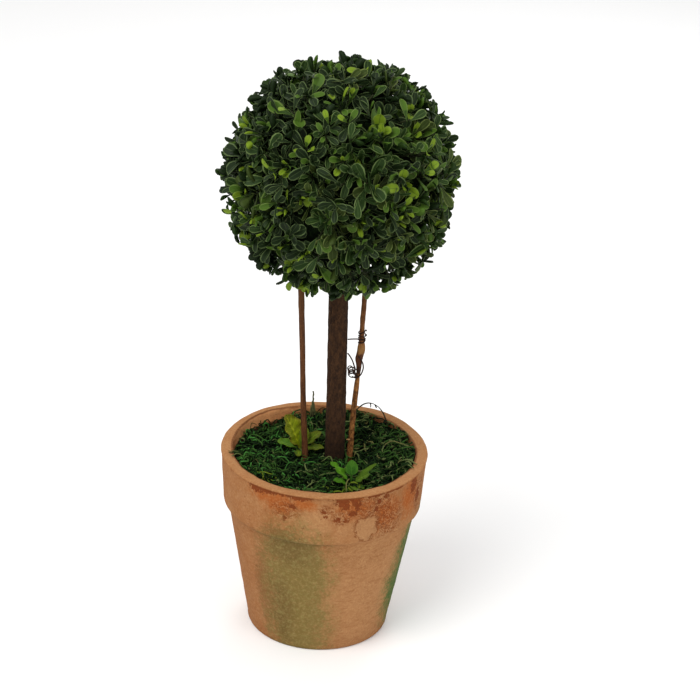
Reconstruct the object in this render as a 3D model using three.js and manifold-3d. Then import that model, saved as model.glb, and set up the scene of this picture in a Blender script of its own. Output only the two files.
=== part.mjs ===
// Ball topiary in a pot: a made boxwood ball on a wooden trunk between two thin vine stems,
// set in a terracotta pot that is filled to near its rim and topped with moss and two small plants.
// Millimetres, +Z up. The origin is the centre of the pot's underside, and the front faces -Y.
import * as THREE from "three";
import { mergeVertices } from "three/addons/utils/BufferGeometryUtils.js";
import Module from "manifold-3d";

const wasm = await Module();
wasm.setup();

// Driving dimensions
const clearance = 0.3; // between pieces that touch on the real thing
const finest = 0.03; // detail smaller than this is smoothed away

const potHeight = 144;
const rimRadius = 77.5;
const mouthRadius = 68.1; // inside the rim
const bandHeight = 41.6; // the thick band under the rim
const bandFootRadius = 74.9;
const bodyTopRadius = 71.6;
const footRadius = 53.8;
const potFloor = 11;
const cavityFootRadius = 45;
const potEdge = 2; // rounding of the rim, band and foot
const potSides = 48;

const fillTop = 120;
const mossLevel = 135.5; // in the middle, where the stems stand
const mossRise = 4.4; // towards the wall
const mossTilt = 2; // more of that rise at the back on the right, and less in front on the left
const mossRings = [0, 9, 20, 31, 42, 52, 61];
const mossSides = 30;
const mossEdgeDrop = 3.5; // the mat turns down to the wall at its edge
const mossStrands = 18;
const strandRadius = 1.1;

const trunkRadius = 7.15;
const trunkPath = [[9.2, 0, 60], [7.7, 0.4, 135], [6.7, -0.4, 200], [5.4, 0.3, 263], [4.6, 0, 324]];
const leftStemRadius = 2.3;
const leftStemPath = [
  [-12.6, 1.5, 84], [-14.3, 0, 136], [-17.5, 0.6, 185],
  [-19.3, -0.6, 224], [-21.9, 0, 271], [-23.4, 0.6, 311],
];
const rightStemRadius = 2.05;
const rightStemPath = [
  [18.4, 1.5, 90], [19.1, 0, 139], [20.9, 0.5, 186], [22.4, -0.5, 208],
  [23.3, 0.4, 230], [23.6, 0, 250], [24.1, 0.4, 265], [25.2, 0, 311],
];
const knotHeight = 221; // where the vine was cut back and healed
const knotLength = 24;
const knotSwelling = 1.35;
const tendrilRadius = 0.5;

const ballCentre = new THREE.Vector3(2, 0, 358);
const coreRadius = 69;
const ballReach = 87.5; // no leaf tip stands further from the centre
const stemCount = 68;
const stemSeed = 42;
const twigRadius = 1.7;
const leafLength = 20;
const leafWidth = 12.5;
const leafThickness = 1.2;
const leafSunk = 0.4; // how far a leaf's root is sunk beyond its twig's middle
const limbMargin = 0.7; // a leaf nearer to a limb than this is left off

const terracotta = new THREE.MeshStandardMaterial({ color: 0xb9794a, roughness: 0.9, metalness: 0 });
const plaster = new THREE.MeshStandardMaterial({ color: 0x8d8375, roughness: 0.95, metalness: 0 });
const mossGreen = new THREE.MeshStandardMaterial({ color: 0x1f3d17, roughness: 0.95, metalness: 0 });
const darkBark = new THREE.MeshStandardMaterial({ color: 0x3a281e, roughness: 0.85, metalness: 0 });
const redBark = new THREE.MeshStandardMaterial({ color: 0x6b3f24, roughness: 0.7, metalness: 0 });
const tanBark = new THREE.MeshStandardMaterial({ color: 0x8a5a2e, roughness: 0.75, metalness: 0 });
const dryTwig = new THREE.MeshStandardMaterial({ color: 0x2c2a1c, roughness: 0.8, metalness: 0 });
const boxwood = new THREE.MeshStandardMaterial({ color: 0x2c4a20, roughness: 0.5, metalness: 0 });
const yellowLeaf = new THREE.MeshStandardMaterial({ color: 0x8fa01e, roughness: 0.55, metalness: 0 });
const greenLeaf = new THREE.MeshStandardMaterial({ color: 0x3f8f2a, roughness: 0.55, metalness: 0 });

// Seeded random numbers from 0 to 1, the same on each run
function seeded(seed) {
  let state = seed >>> 0;
  return () => {
    state = (state + 0x6d2b79f5) >>> 0;
    let mixed = Math.imul(state ^ (state >>> 15), state | 1);
    mixed ^= mixed + Math.imul(mixed ^ (mixed >>> 7), mixed | 61);
    return ((mixed ^ (mixed >>> 14)) >>> 0) / 4294967296;
  };
}

const between = (random, low, high) => low + (high - low) * random();
const vector = (numbers) => new THREE.Vector3(...numbers);
const curveThrough = (places) => new THREE.CatmullRomCurve3(places.map(vector));

// A closed three.js geometry as a solid that can be joined and cut
function solidOf(geometry) {
  const bare = new THREE.BufferGeometry().setAttribute("position", geometry.getAttribute("position"));
  if (geometry.index) bare.setIndex(geometry.index);
  const merged = mergeVertices(bare, 1e-4);
  return new wasm.Manifold(new wasm.Mesh({
    numProp: 3,
    vertProperties: new Float32Array(merged.attributes.position.array),
    triVerts: new Uint32Array(merged.index.array),
  }));
}

// Where two corners of a surface all but touch, each is drawn inwards along its own normal
function partTouchingCorners(geometry) {
  const place = geometry.getAttribute("position");
  const normal = geometry.getAttribute("normal");
  const cornerOf = (_, i) => new THREE.Vector3().fromBufferAttribute(place, i);
  const corners = Array.from({ length: place.count }, cornerOf);
  const order = corners.map((_, i) => i).sort((a, b) => corners[a].x - corners[b].x);
  const touching = new Set();
  order.forEach((a, rank) => {
    for (const b of order.slice(rank + 1)) {
      if (corners[b].x - corners[a].x >= finest) break;
      if (corners[a].distanceTo(corners[b]) < finest) touching.add(a).add(b);
    }
  });
  for (const i of touching) {
    corners[i].addScaledVector(new THREE.Vector3().fromBufferAttribute(normal, i), -finest);
    place.setXYZ(i, corners[i].x, corners[i].y, corners[i].z);
  }
}

// The named mesh of a solid, without scraps that joined nothing or hollows that joining sealed
function meshOf(name, solid, material) {
  const whole = solid.simplify(finest).decompose().sort((a, b) => b.volume() - a.volume())[0];
  const made = whole.getMesh();
  const corners = new Float32Array(made.numVert * 3);
  for (let i = 0; i < made.numVert; i++) {
    corners.set(made.vertProperties.subarray(i * made.numProp, i * made.numProp + 3), i * 3);
  }
  const geometry = new THREE.BufferGeometry();
  geometry.setAttribute("position", new THREE.BufferAttribute(corners, 3));
  geometry.setIndex(new THREE.BufferAttribute(new Uint32Array(made.triVerts), 1));
  geometry.computeVertexNormals();
  partTouchingCorners(geometry);
  const mesh = new THREE.Mesh(geometry, material);
  mesh.name = name;
  return mesh;
}

const joined = (solids) => solids.reduce((whole, solid) => whole.add(solid));

// Joins many solids in pairs, then pairs of pairs, which is quicker than one after another
function joinedInPairs(solids) {
  let rest = solids;
  while (rest.length > 1) {
    const partners = rest.filter((_, i) => i % 2);
    const firsts = rest.filter((_, i) => i % 2 === 0);
    rest = firsts.map((solid, i) => (partners[i] ? solid.add(partners[i]) : solid));
  }
  return rest[0];
}

// A profile of [radius, height] pairs turned about the Z axis
function turned(profile, sides) {
  const lathe = new THREE.LatheGeometry(profile.map(([r, z]) => new THREE.Vector2(r, z)), sides);
  return lathe.rotateX(Math.PI / 2);
}

// A near upright limb: a closed cylinder whose rings are moved onto a curve. grow widens and lengthens it.
function limb(curve, radiusAt, sides, steps, grow = 0) {
  const geometry = new THREE.CylinderGeometry(1, 1, 1, sides, steps);
  const place = geometry.getAttribute("position");
  for (let i = 0; i < place.count; i++) {
    const along = Math.min(Math.max(place.getY(i) + 0.5, 0), 1);
    const turn = Math.atan2(-place.getZ(i), place.getX(i));
    const onWall = Math.hypot(place.getX(i), place.getZ(i)) > 0.5 ? 1 : 0; // 0 at the middle of an end
    const middle = curve.getPointAt(along);
    const radius = onWall * (radiusAt(along, turn, middle.z) + grow);
    const beyond = along === 0 ? -grow : along === 1 ? grow : 0;
    const x = middle.x + radius * Math.cos(turn);
    const y = middle.y + radius * Math.sin(turn);
    place.setXYZ(i, x, y, middle.z + beyond);
  }
  return geometry;
}

// A thin tube of even thickness along a curve
function tube(places, radius, sides, steps) {
  const corners = Array.from({ length: sides }, (_, i) => {
    const turn = (2 * Math.PI * i) / sides;
    return new THREE.Vector2(radius * Math.cos(turn), radius * Math.sin(turn));
  });
  const extrudePath = new THREE.CatmullRomCurve3(places);
  return new THREE.ExtrudeGeometry(new THREE.Shape(corners), { steps, extrudePath });
}

// A three-sided twig from one point to another, thinner at its tip
function twig(from, to, radius) {
  const along = to.clone().sub(from);
  const geometry = new THREE.CylinderGeometry(radius * 0.7, radius, along.length(), 3);
  geometry.translate(0, along.length() / 2, 0);
  const upward = new THREE.Vector3(0, 1, 0);
  geometry.applyQuaternion(new THREE.Quaternion().setFromUnitVectors(upward, along.normalize()));
  return geometry.translate(from.x, from.y, from.z);
}

// A leaf of 10 faces: its root, two shoulders and blunt tip round a ridge. It grows along +Y and faces +Z.
function leaf(length, width, thickness) {
  const geometry = new THREE.SphereGeometry(1, 5, 2);
  const place = geometry.getAttribute("position");
  const ridge = 0.5 * length;
  const cup = 0.12 * length; // the edge stands above the ridge
  const tip = 1 - Math.cos(0.8 * Math.PI); // how far round the outline's tip is from its root
  const shoulder = Math.sin(0.4 * Math.PI);
  for (let i = 0; i < place.count; i++) {
    const [x, y, z] = [place.getX(i), place.getY(i), place.getZ(i)];
    const out = Math.sqrt((1 + x) / tip);
    if (Math.abs(y) > 0.5) place.setXYZ(i, 0, ridge, (y * thickness) / 2);
    else place.setXYZ(i, ((z / shoulder) * width) / 2, out * length, out * cup);
  }
  return geometry;
}

// Puts a leaf at a root, along a direction, with its face turned towards another
function placed(geometry, root, along, facing) {
  const y = along.clone().normalize();
  const x = y.clone().cross(facing).normalize();
  const z = x.clone().cross(y);
  return geometry.applyMatrix4(new THREE.Matrix4().makeBasis(x, y, z).setPosition(root));
}

// A direction turned away from an axis by an angle, on the side that a turn round the axis gives
function leaning(axis, away, round) {
  const side = Math.abs(axis.z) < 0.9 ? new THREE.Vector3(0, 0, 1) : new THREE.Vector3(1, 0, 0);
  const across = axis.clone().cross(side).normalize().applyAxisAngle(axis, round);
  return axis.clone().multiplyScalar(Math.cos(away)).addScaledVector(across, Math.sin(away));
}

// Pot
const cavityRadius = (z) =>
  cavityFootRadius + ((mouthRadius - cavityFootRadius) * (z - potFloor)) / (potHeight - potFloor);

function makePot() {
  const bandFoot = potHeight - bandHeight;
  const floorEdge = potFloor + 2 * potEdge;
  const profile = [
    [0, 0], [footRadius - potEdge, 0], [footRadius, potEdge],
    [bodyTopRadius, bandFoot - potEdge],
    [bandFootRadius - potEdge / 2, bandFoot], [bandFootRadius, bandFoot + potEdge],
    [rimRadius, potHeight - potEdge], [rimRadius - potEdge, potHeight],
    [mouthRadius + potEdge, potHeight], [mouthRadius, potHeight - potEdge],
    [cavityRadius(floorEdge), floorEdge], [cavityFootRadius - 2 * potEdge, potFloor], [0, potFloor],
  ];
  return solidOf(turned(profile, potSides));
}

// Limbs
const trunkCurve = curveThrough(trunkPath);
const leftCurve = curveThrough(leftStemPath);
const rightCurve = curveThrough(rightStemPath);

// The trunk's bark stands in shallow flutes, and it spreads a little towards its foot
function trunkRadiusAt(along, turn) {
  const spread = 0.06 * (1 - along) ** 2;
  const flutes = 0.035 * Math.sin(3 * turn + 5 * along) + 0.02 * Math.sin(7 * turn - 9 * along);
  return trunkRadius * (1 + spread + flutes);
}

function leftRadiusAt(along, turn) {
  const flutes = 0.05 * Math.sin(2 * turn + 9 * along);
  const joints = 0.05 * Math.sin(26 * along);
  return leftStemRadius * (1 - 0.08 * along + flutes + joints);
}

function rightRadiusAt(along, turn, z) {
  const knot = Math.exp(-(((z - knotHeight) / (knotLength / 2)) ** 2));
  const flutes = 0.05 * Math.sin(2 * turn + 7 * along);
  return rightStemRadius * (1 + flutes) + knotSwelling * knot * (1 + 0.3 * Math.cos(turn));
}

const trunkLimb = (grow) => solidOf(limb(trunkCurve, trunkRadiusAt, 12, 16, grow));
const leftLimb = (grow) => solidOf(limb(leftCurve, leftRadiusAt, 8, 16, grow));
const rightLimb = (grow) => solidOf(limb(rightCurve, rightRadiusAt, 7, 24, grow));
const limbSpace = joined([trunkLimb(clearance), leftLimb(clearance), rightLimb(clearance)]);

// How far a point is from the nearest limb's bark
function toLimbs(point) {
  const limbs = [[trunkCurve, trunkRadius], [leftCurve, leftStemRadius], [rightCurve, rightStemRadius]];
  return Math.min(...limbs.map(([curve, radius]) => {
    const low = curve.getPointAt(0).z;
    const high = curve.getPointAt(1).z;
    const along = Math.min(Math.max((point.z - low) / (high - low), 0), 1);
    return curve.getPointAt(along).distanceTo(point) - radius;
  }));
}

// The tendril that winds round the right stem above its knot, and its end that reaches for the trunk
function woundTendril() {
  const windHeight = knotHeight + 16;
  const windRadius = rightStemRadius + 0.75;
  const foot = rightStemPath[0][2];
  const middle = rightCurve.getPointAt((windHeight - foot) / (rightStemPath.at(-1)[2] - foot));
  const wound = Array.from({ length: 15 }, (_, i) => {
    const turn = (i * Math.PI) / 4.5;
    const x = middle.x + windRadius * Math.cos(turn);
    const y = middle.y + windRadius * Math.sin(turn);
    return new THREE.Vector3(x, y, windHeight - 3 + i * 0.36);
  });
  const reach = [
    [20.6, 1, windHeight - 1.2], [17, 0.2, windHeight - 2.1], [14.2, -0.3, windHeight - 2.4],
  ].map(vector);
  return [tube(wound, tendrilRadius, 4, 22), tube(reach, tendrilRadius, 4, 3)];
}

// The tendril that curls under the knot on the left, and its loop on the right
function curledTendril() {
  const loop = [
    [23.4, -0.6, knotHeight - 4], [26.4, -1.4, knotHeight - 6], [27, -1.8, knotHeight - 11],
    [25, -1.6, knotHeight - 16], [22.2, -0.5, knotHeight - 18],
  ].map(vector);
  const curl = [
    [15.3, -1.2, knotHeight + 1], [17.6, -1.6, knotHeight - 5], [19.4, -2, knotHeight - 10],
  ].map(vector);
  for (let i = 0; i < 12; i++) {
    const turn = -0.4 - i * 0.8;
    const x = 17.6 + 2.6 * Math.cos(turn);
    curl.push(new THREE.Vector3(x, -2 + i * 0.16, knotHeight - 14 + 2.8 * Math.sin(turn)));
  }
  curl.push(vector([21.8, -0.4, knotHeight - 17]));
  return [tube(loop, tendrilRadius, 4, 8), tube(curl, tendrilRadius, 4, 22)];
}

function tendrils() {
  const stub = [[19.4, -0.4, 152.2], [17, -2.6, 152.6], [14.8, -4.6, 153.4]].map(vector);
  return [...woundTendril(), tube(stub, 0.8, 5, 2), ...curledTendril()].map(solidOf);
}

// Filling and moss
function makeFill() {
  const foot = potFloor + clearance;
  const profile = [[0, foot], [cavityFootRadius - 2 * potEdge - clearance, foot],
    [cavityRadius(foot + 2 * potEdge) - 1.5 * clearance, foot + 2 * potEdge],
    [cavityRadius(fillTop) - 1.5 * clearance, fillTop], [0, fillTop]];
  return solidOf(turned(profile, potSides)).subtract(limbSpace);
}

// The moss is dished, lowest where the stems stand, and swells in soft lumps
function mossHeight(x, y) {
  const edge = (x * x + y * y) / mouthRadius ** 2;
  const rise = edge * (mossRise + (mossTilt * (x + y)) / (1.4 * mouthRadius));
  const broad = 0.8 * Math.sin(0.13 * x + 0.8) * Math.cos(0.11 * y - 0.4);
  const small = 0.7 * Math.sin(0.31 * x - 0.22 * y + 2);
  return mossLevel + rise + broad + small;
}

function mossMat() {
  const foot = fillTop + clearance;
  const wall = (z) => cavityRadius(z) - 1.5 * clearance;
  const tops = mossRings.slice().reverse().map((r) => [r, mossLevel]);
  const geometry = turned([[0, foot], [wall(foot), foot], [mouthRadius, mossLevel], ...tops], mossSides);
  const place = geometry.getAttribute("position");
  for (let i = 0; i < place.count; i++) {
    const [x, y, z] = [place.getX(i), place.getY(i), place.getZ(i)];
    const away = Math.hypot(x, y);
    if (z < mossLevel) continue;
    const height = mossHeight(x, y) - (away > mossRings.at(-1) + 1 ? mossEdgeDrop : 0);
    const inward = Math.min(1, wall(height) / Math.max(away, 1));
    place.setXYZ(i, x * inward, y * inward, height);
  }
  return solidOf(geometry);
}

// One curled strand of moss that dips into the mat at both ends
function mossStrand(random) {
  const away = 57 * Math.sqrt(random());
  const round = between(random, 0, 2 * Math.PI);
  const heading = between(random, 0, 2 * Math.PI);
  const length = between(random, 11, 22);
  const bend = between(random, -0.9, 0.9);
  const lift = between(random, 2, 4.5);
  const places = [-0.5, -0.25, 0, 0.25, 0.5].map((share) => {
    const turn = heading + bend * share;
    const x = away * Math.cos(round) + length * share * Math.cos(turn);
    const y = away * Math.sin(round) + length * share * Math.sin(turn);
    const rise = lift * (1 - 4 * share * share) - 1.6;
    return new THREE.Vector3(x, y, mossHeight(x, y) + rise);
  });
  const outside = places.some((p) => Math.hypot(p.x, p.y) > cavityRadius(p.z) - 3);
  const apart = places.every((p) => toLimbs(p) > strandRadius + 1 && toPlants(p) > 9);
  return { places, clear: apart && !outside };
}

function mossSolids() {
  const random = seeded(7);
  const solids = [mossMat()];
  while (solids.length <= mossStrands) {
    const { places, clear } = mossStrand(random);
    if (clear) solids.push(solidOf(tube(places, strandRadius, 3, 4)));
  }
  return solids;
}

// Small plants in the moss: [turn in degrees, lean from upright in degrees, length, width] for each leaf
const yellowPlantPlace = vector([-18.5, 9.5, 0]);
const yellowPlantLeaves = [
  [150, 17, 27, 15], [190, 60, 18, 10], [60, 22, 17, 9], [25, 50, 22, 10],
  [350, 74, 18, 9], [265, 80, 12, 8], [110, 60, 17, 9],
];
const greenPlantPlace = vector([20.5, -45, 0]);
const greenPlantLeaves = [
  [90, 6, 21, 10.5], [168, 42, 26, 8], [190, 55, 17, 9], [10, 47, 18, 10],
  [28, 50, 29, 5.5], [250, 78, 11, 7], [335, 80, 11, 6],
];
const plantStemRadius = 1.7;
const plantStemDepth = 9;

const onMoss = (place) => new THREE.Vector3(place.x, place.y, mossHeight(place.x, place.y));
const plantPlaces = [yellowPlantPlace, greenPlantPlace];
const toPlants = (p) => Math.min(...plantPlaces.map((place) => Math.hypot(p.x - place.x, p.y - place.y)));

function plantStem(place, grow) {
  const foot = onMoss(place).addScaledVector(new THREE.Vector3(0, 0, 1), -plantStemDepth - grow);
  const top = onMoss(place).addScaledVector(new THREE.Vector3(0, 0, 1), 2.4);
  const radius = plantStemRadius + grow;
  const geometry = new THREE.CylinderGeometry(radius, radius, top.z - foot.z, 6);
  return solidOf(geometry.rotateX(Math.PI / 2).translate(place.x, place.y, (foot.z + top.z) / 2));
}

function smallPlant(place, leaves) {
  const crown = onMoss(place).add(new THREE.Vector3(0, 0, 1.6));
  const up = new THREE.Vector3(0, 0, 1);
  const blades = leaves.map(([round, lean, length, width]) => {
    const turn = THREE.MathUtils.degToRad(round);
    const away = THREE.MathUtils.degToRad(lean);
    const outward = new THREE.Vector3(Math.cos(turn), Math.sin(turn), 0);
    const along = outward.clone().multiplyScalar(Math.sin(away)).addScaledVector(up, Math.cos(away));
    const facing = up.clone().multiplyScalar(Math.sin(away)).addScaledVector(outward, -Math.cos(away));
    return solidOf(placed(leaf(length, width, 1.6), crown, along, facing));
  });
  return joined([plantStem(place, 0), ...blades]).subtract(limbSpace);
}

// A fallen tendril that arches over the moss at the back on the right, and a dry stalk at the back
const fallenPath = [
  [20, 58, 131], [20.5, 58, 142], [25.3, 56.5, 151], [33.4, 53, 157.3],
  [41.3, 50, 154.8], [46.3, 47.5, 146], [47, 46, 140], [46.5, 45, 131],
];
const stalkPath = [[-10.3, 60, 130], [-10.2, 60.5, 143], [-10.7, 60.5, 152], [-10.3, 60, 161.5]];

function stalkRadiusAt(along) {
  const bud = 1.15 * Math.exp(-(((along - 0.52) / 0.17) ** 2));
  return 0.65 + bud + 0.12 * Math.sin(60 * along);
}

const fallenTendril = (grow) => solidOf(tube(fallenPath.map(vector), 0.6 + grow, 5, 22));
const dryStalk = (grow) => solidOf(limb(curveThrough(stalkPath), stalkRadiusAt, 6, 9, grow));

// Boxwood ball
const onBall = (direction, radius) => direction.clone().multiplyScalar(radius).add(ballCentre);

// Directions spread evenly over a sphere, each a little off its place
function stemDirection(index, random) {
  const height = 1 - (2 * index + 1) / stemCount;
  const turn = index * Math.PI * (3 - Math.sqrt(5));
  const flat = Math.sqrt(1 - height * height);
  const even = new THREE.Vector3(flat * Math.cos(turn), flat * Math.sin(turn), height);
  return leaning(even, between(random, 0, 0.09), between(random, 0, 2 * Math.PI));
}

// A leaf on a shoot, or nothing where it would leave the ball's space or come near a limb
function ballLeaf(root, axis, away, round, size) {
  const along = leaning(axis, away, round);
  const foot = root.clone().addScaledVector(along, -leafSunk);
  const tip = foot.clone().addScaledVector(along, leafLength * size);
  const middle = foot.clone().addScaledVector(along, leafLength * size * 0.6);
  const nearLimb = [middle, tip].some((point) => toLimbs(point) < limbMargin + leafWidth * size * 0.45);
  if (nearLimb || tip.distanceTo(ballCentre) > ballReach) return [];
  const facing = axis.clone().addScaledVector(along, -axis.dot(along));
  return [solidOf(placed(leaf(leafLength * size, leafWidth * size, leafThickness), foot, along, facing))];
}

// A shoot: a twig with pairs of leaves that cross each other, the youngest pair most upright
function shoot(from, axis, length, pairs, random) {
  const end = from.clone().addScaledVector(axis, length);
  const solids = [solidOf(twig(from, end, twigRadius))];
  const round = between(random, 0, Math.PI);
  for (let pair = 0; pair < pairs; pair++) {
    const root = end.clone().addScaledVector(axis, -1.2 - 3.4 * pair);
    const away = 0.8 + 0.42 * pair;
    for (const side of [0, Math.PI]) {
      const turn = round + side + (pair * Math.PI) / 2 + between(random, -0.25, 0.25);
      const tilt = away + between(random, -0.18, 0.18);
      solids.push(...ballLeaf(root, axis, tilt, turn, between(random, 0.86, 1.08)));
    }
  }
  return solids;
}

function boxwoodBall() {
  const random = seeded(stemSeed);
  const core = new THREE.IcosahedronGeometry(coreRadius, 3).translate(...ballCentre.toArray());
  const solids = [solidOf(core)];
  for (let index = 0; index < stemCount; index++) {
    const outward = stemDirection(index, random);
    const axis = leaning(outward, between(random, 0, 0.3), between(random, 0, 2 * Math.PI));
    const foot = onBall(outward, coreRadius - 4);
    const length = between(random, 7.5, 11.5);
    const fork = foot.clone().addScaledVector(axis, length * 0.4);
    const sideways = leaning(axis, between(random, 0.8, 1.1), between(random, 0, 2 * Math.PI));
    if (toLimbs(foot.clone().addScaledVector(axis, length)) < 3) continue;
    solids.push(...shoot(foot, axis, length, 2, random));
    if (index % 4 === 1) solids.push(...shoot(fork, sideways, 9, 1, random));
  }
  return joinedInPairs(solids).subtract(limbSpace);
}

const rightStem = joined([rightLimb(0), ...tendrils()]).subtract(trunkLimb(clearance));
const plantSpace = joined([plantStem(yellowPlantPlace, clearance), plantStem(greenPlantPlace, clearance)]);
const litterSpace = joined([fallenTendril(clearance), dryStalk(clearance)]);
const moss = joinedInPairs(mossSolids()).subtract(limbSpace).subtract(plantSpace).subtract(litterSpace);

const topiary = new THREE.Group();
topiary.add(
  meshOf("pot", makePot(), terracotta),
  meshOf("pot_fill", makeFill(), plaster),
  meshOf("moss", moss, mossGreen),
  meshOf("trunk", trunkLimb(0), darkBark),
  meshOf("left_stem", leftLimb(0), redBark),
  meshOf("right_stem", rightStem, tanBark),
  meshOf("yellow_plant", smallPlant(yellowPlantPlace, yellowPlantLeaves), yellowLeaf),
  meshOf("green_plant", smallPlant(greenPlantPlace, greenPlantLeaves), greenLeaf),
  meshOf("fallen_tendril", fallenTendril(0), dryTwig),
  meshOf("dry_stalk", dryStalk(0), dryTwig),
  meshOf("boxwood_ball", boxwoodBall(), boxwood),
);

export default topiary;
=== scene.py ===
# Ball topiary: a boxwood ball on a trunk between two vine stems, in a weathered terracotta pot with moss.
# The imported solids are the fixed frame, and each visible piece is modelled in the place of its solid.

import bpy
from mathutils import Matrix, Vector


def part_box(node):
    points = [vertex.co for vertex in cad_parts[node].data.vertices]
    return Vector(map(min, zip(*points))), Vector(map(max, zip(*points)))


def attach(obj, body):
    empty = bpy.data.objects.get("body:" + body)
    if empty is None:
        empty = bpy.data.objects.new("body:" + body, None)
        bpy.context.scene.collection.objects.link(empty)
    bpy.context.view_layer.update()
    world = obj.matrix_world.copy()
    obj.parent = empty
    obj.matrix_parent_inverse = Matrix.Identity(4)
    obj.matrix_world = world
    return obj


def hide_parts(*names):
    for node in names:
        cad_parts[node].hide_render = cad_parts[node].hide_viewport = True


bl_info = {
    "name": "Ball topiary",
    "version": (1, 0, 0),
    "blender": (4, 5, 0),
    "location": "3D View > Sidebar > Topiary",
    "description": "Models a potted boxwood ball around its fixed frame",
    "category": "Object",
}

import math

import bmesh
import bpy
import numpy as np
from mathutils import Matrix, Vector, noise

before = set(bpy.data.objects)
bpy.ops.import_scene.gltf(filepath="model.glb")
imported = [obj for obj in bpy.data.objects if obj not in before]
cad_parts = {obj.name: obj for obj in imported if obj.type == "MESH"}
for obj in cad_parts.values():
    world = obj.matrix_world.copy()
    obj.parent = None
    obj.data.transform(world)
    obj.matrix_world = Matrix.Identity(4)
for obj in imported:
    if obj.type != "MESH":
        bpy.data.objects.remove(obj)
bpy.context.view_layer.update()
POT_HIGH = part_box("pot")[1]

MM = 0.001
GOLDEN_TURN = math.pi * (3 - math.sqrt(5))
# A piece stays below this many triangles
MOST_TRIANGLES = 190000


# Settings

class PotSettings(bpy.types.PropertyGroup):
    height: bpy.props.FloatProperty(
        name="Height", description="From the ground to the rim", default=POT_HIGH[2], unit="LENGTH")
    rim_radius: bpy.props.FloatProperty(
        name="Rim radius", description="Outside of the rim", default=POT_HIGH[0], unit="LENGTH")
    mouth_radius: bpy.props.FloatProperty(
        name="Mouth radius", description="Inside of the rim", default=68.1 * MM, unit="LENGTH")
    band_height: bpy.props.FloatProperty(
        name="Band height", description="Height of the thick band under the rim",
        default=41.6 * MM, unit="LENGTH")
    band_foot_radius: bpy.props.FloatProperty(
        name="Band foot radius", description="Outside of the band's lower edge",
        default=74.9 * MM, unit="LENGTH")
    body_top_radius: bpy.props.FloatProperty(
        name="Body top radius", description="Outside of the body under the band",
        default=71.6 * MM, unit="LENGTH")
    foot_radius: bpy.props.FloatProperty(
        name="Foot radius", description="Outside of the underside", default=53.8 * MM, unit="LENGTH")
    cavity_foot_radius: bpy.props.FloatProperty(
        name="Cavity foot radius", description="Inside of the pot at its floor",
        default=45 * MM, unit="LENGTH")
    floor: bpy.props.FloatProperty(
        name="Floor", description="Thickness of the pot's floor", default=11 * MM, unit="LENGTH")
    clay: bpy.props.FloatVectorProperty(
        name="Clay", description="Colour of the bare clay", subtype="COLOR", default=(0.3, 0.118, 0.04))
    bloom: bpy.props.FloatVectorProperty(
        name="Bloom", description="Colour of the pale bloom on the clay",
        subtype="COLOR", default=(0.405, 0.208, 0.092))
    rust: bpy.props.FloatVectorProperty(
        name="Rust", description="Colour of the flaky stains", subtype="COLOR", default=(0.15, 0.028, 0.006))
    olive: bpy.props.FloatVectorProperty(
        name="Olive", description="Colour of the soft patch in front",
        subtype="COLOR", default=(0.15, 0.128, 0.034))
    green: bpy.props.FloatVectorProperty(
        name="Green", description="Colour of the patch at the side",
        subtype="COLOR", default=(0.005, 0.1, 0.02))


class LimbSettings(bpy.types.PropertyGroup):
    trunk_radius: bpy.props.FloatProperty(
        name="Trunk radius", description="Half the trunk's thickness", default=7.15 * MM, unit="LENGTH")
    left_radius: bpy.props.FloatProperty(
        name="Left stem radius", description="Half the left stem's thickness",
        default=2.3 * MM, unit="LENGTH")
    right_radius: bpy.props.FloatProperty(
        name="Right stem radius", description="Half the right stem's thickness",
        default=2.0 * MM, unit="LENGTH")
    knot_height: bpy.props.FloatProperty(
        name="Knot height", description="Height of the right stem's knot", default=221 * MM, unit="LENGTH")
    tendril_radius: bpy.props.FloatProperty(
        name="Tendril radius", description="Half a tendril's thickness", default=0.5 * MM, unit="LENGTH")
    dark_bark: bpy.props.FloatVectorProperty(
        name="Dark bark", description="Colour of the trunk", subtype="COLOR", default=(0.056, 0.026, 0.0115))
    red_bark: bpy.props.FloatVectorProperty(
        name="Red bark", description="Colour of the left stem", subtype="COLOR", default=(0.11, 0.042, 0.014))
    tan_bark: bpy.props.FloatVectorProperty(
        name="Tan bark", description="Colour of the right stem",
        subtype="COLOR", default=(0.29, 0.125, 0.034))


class MossSettings(bpy.types.PropertyGroup):
    level: bpy.props.FloatProperty(
        name="Level", description="Height of the moss where the stems stand",
        default=135.5 * MM, unit="LENGTH")
    strands: bpy.props.IntProperty(
        name="Strands", description="How many strands lie on the mat", default=4200)
    strand_radius: bpy.props.FloatProperty(
        name="Strand radius", description="Half a strand's thickness", default=0.5 * MM, unit="LENGTH")
    seed: bpy.props.IntProperty(
        name="Seed", description="Which of the possible mats is made", default=7)


class BallSettings(bpy.types.PropertyGroup):
    # The core is near black, painted shade inside the ball.
    core_radius: bpy.props.FloatProperty(
        name="Core radius", description="The dark core that the shoots stand in",
        default=63.5 * MM, unit="LENGTH")
    reach: bpy.props.FloatProperty(
        name="Reach", description="No leaf tip stands further from the centre",
        default=88 * MM, unit="LENGTH")
    stems: bpy.props.IntProperty(
        name="Stems", description="How many stems the ball has", default=68)
    twigs: bpy.props.IntProperty(
        name="Twigs", description="How many twigs each stem forks into", default=7)
    seed: bpy.props.IntProperty(
        name="Seed", description="Which of the possible balls is grown", default=42)
    leaf_length: bpy.props.FloatProperty(
        name="Leaf length", description="From root to tip", default=16 * MM, unit="LENGTH")
    leaf_width: bpy.props.FloatProperty(
        name="Leaf width", description="Across the widest place", default=7.4 * MM, unit="LENGTH")
    leaf_thickness: bpy.props.FloatProperty(
        name="Leaf thickness", description="Under the midrib", default=0.45 * MM, unit="LENGTH")
    lime_share: bpy.props.FloatProperty(
        name="Lime share", description="Share of shoots with lime leaves at the tip",
        default=0.3, subtype="FACTOR")


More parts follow.
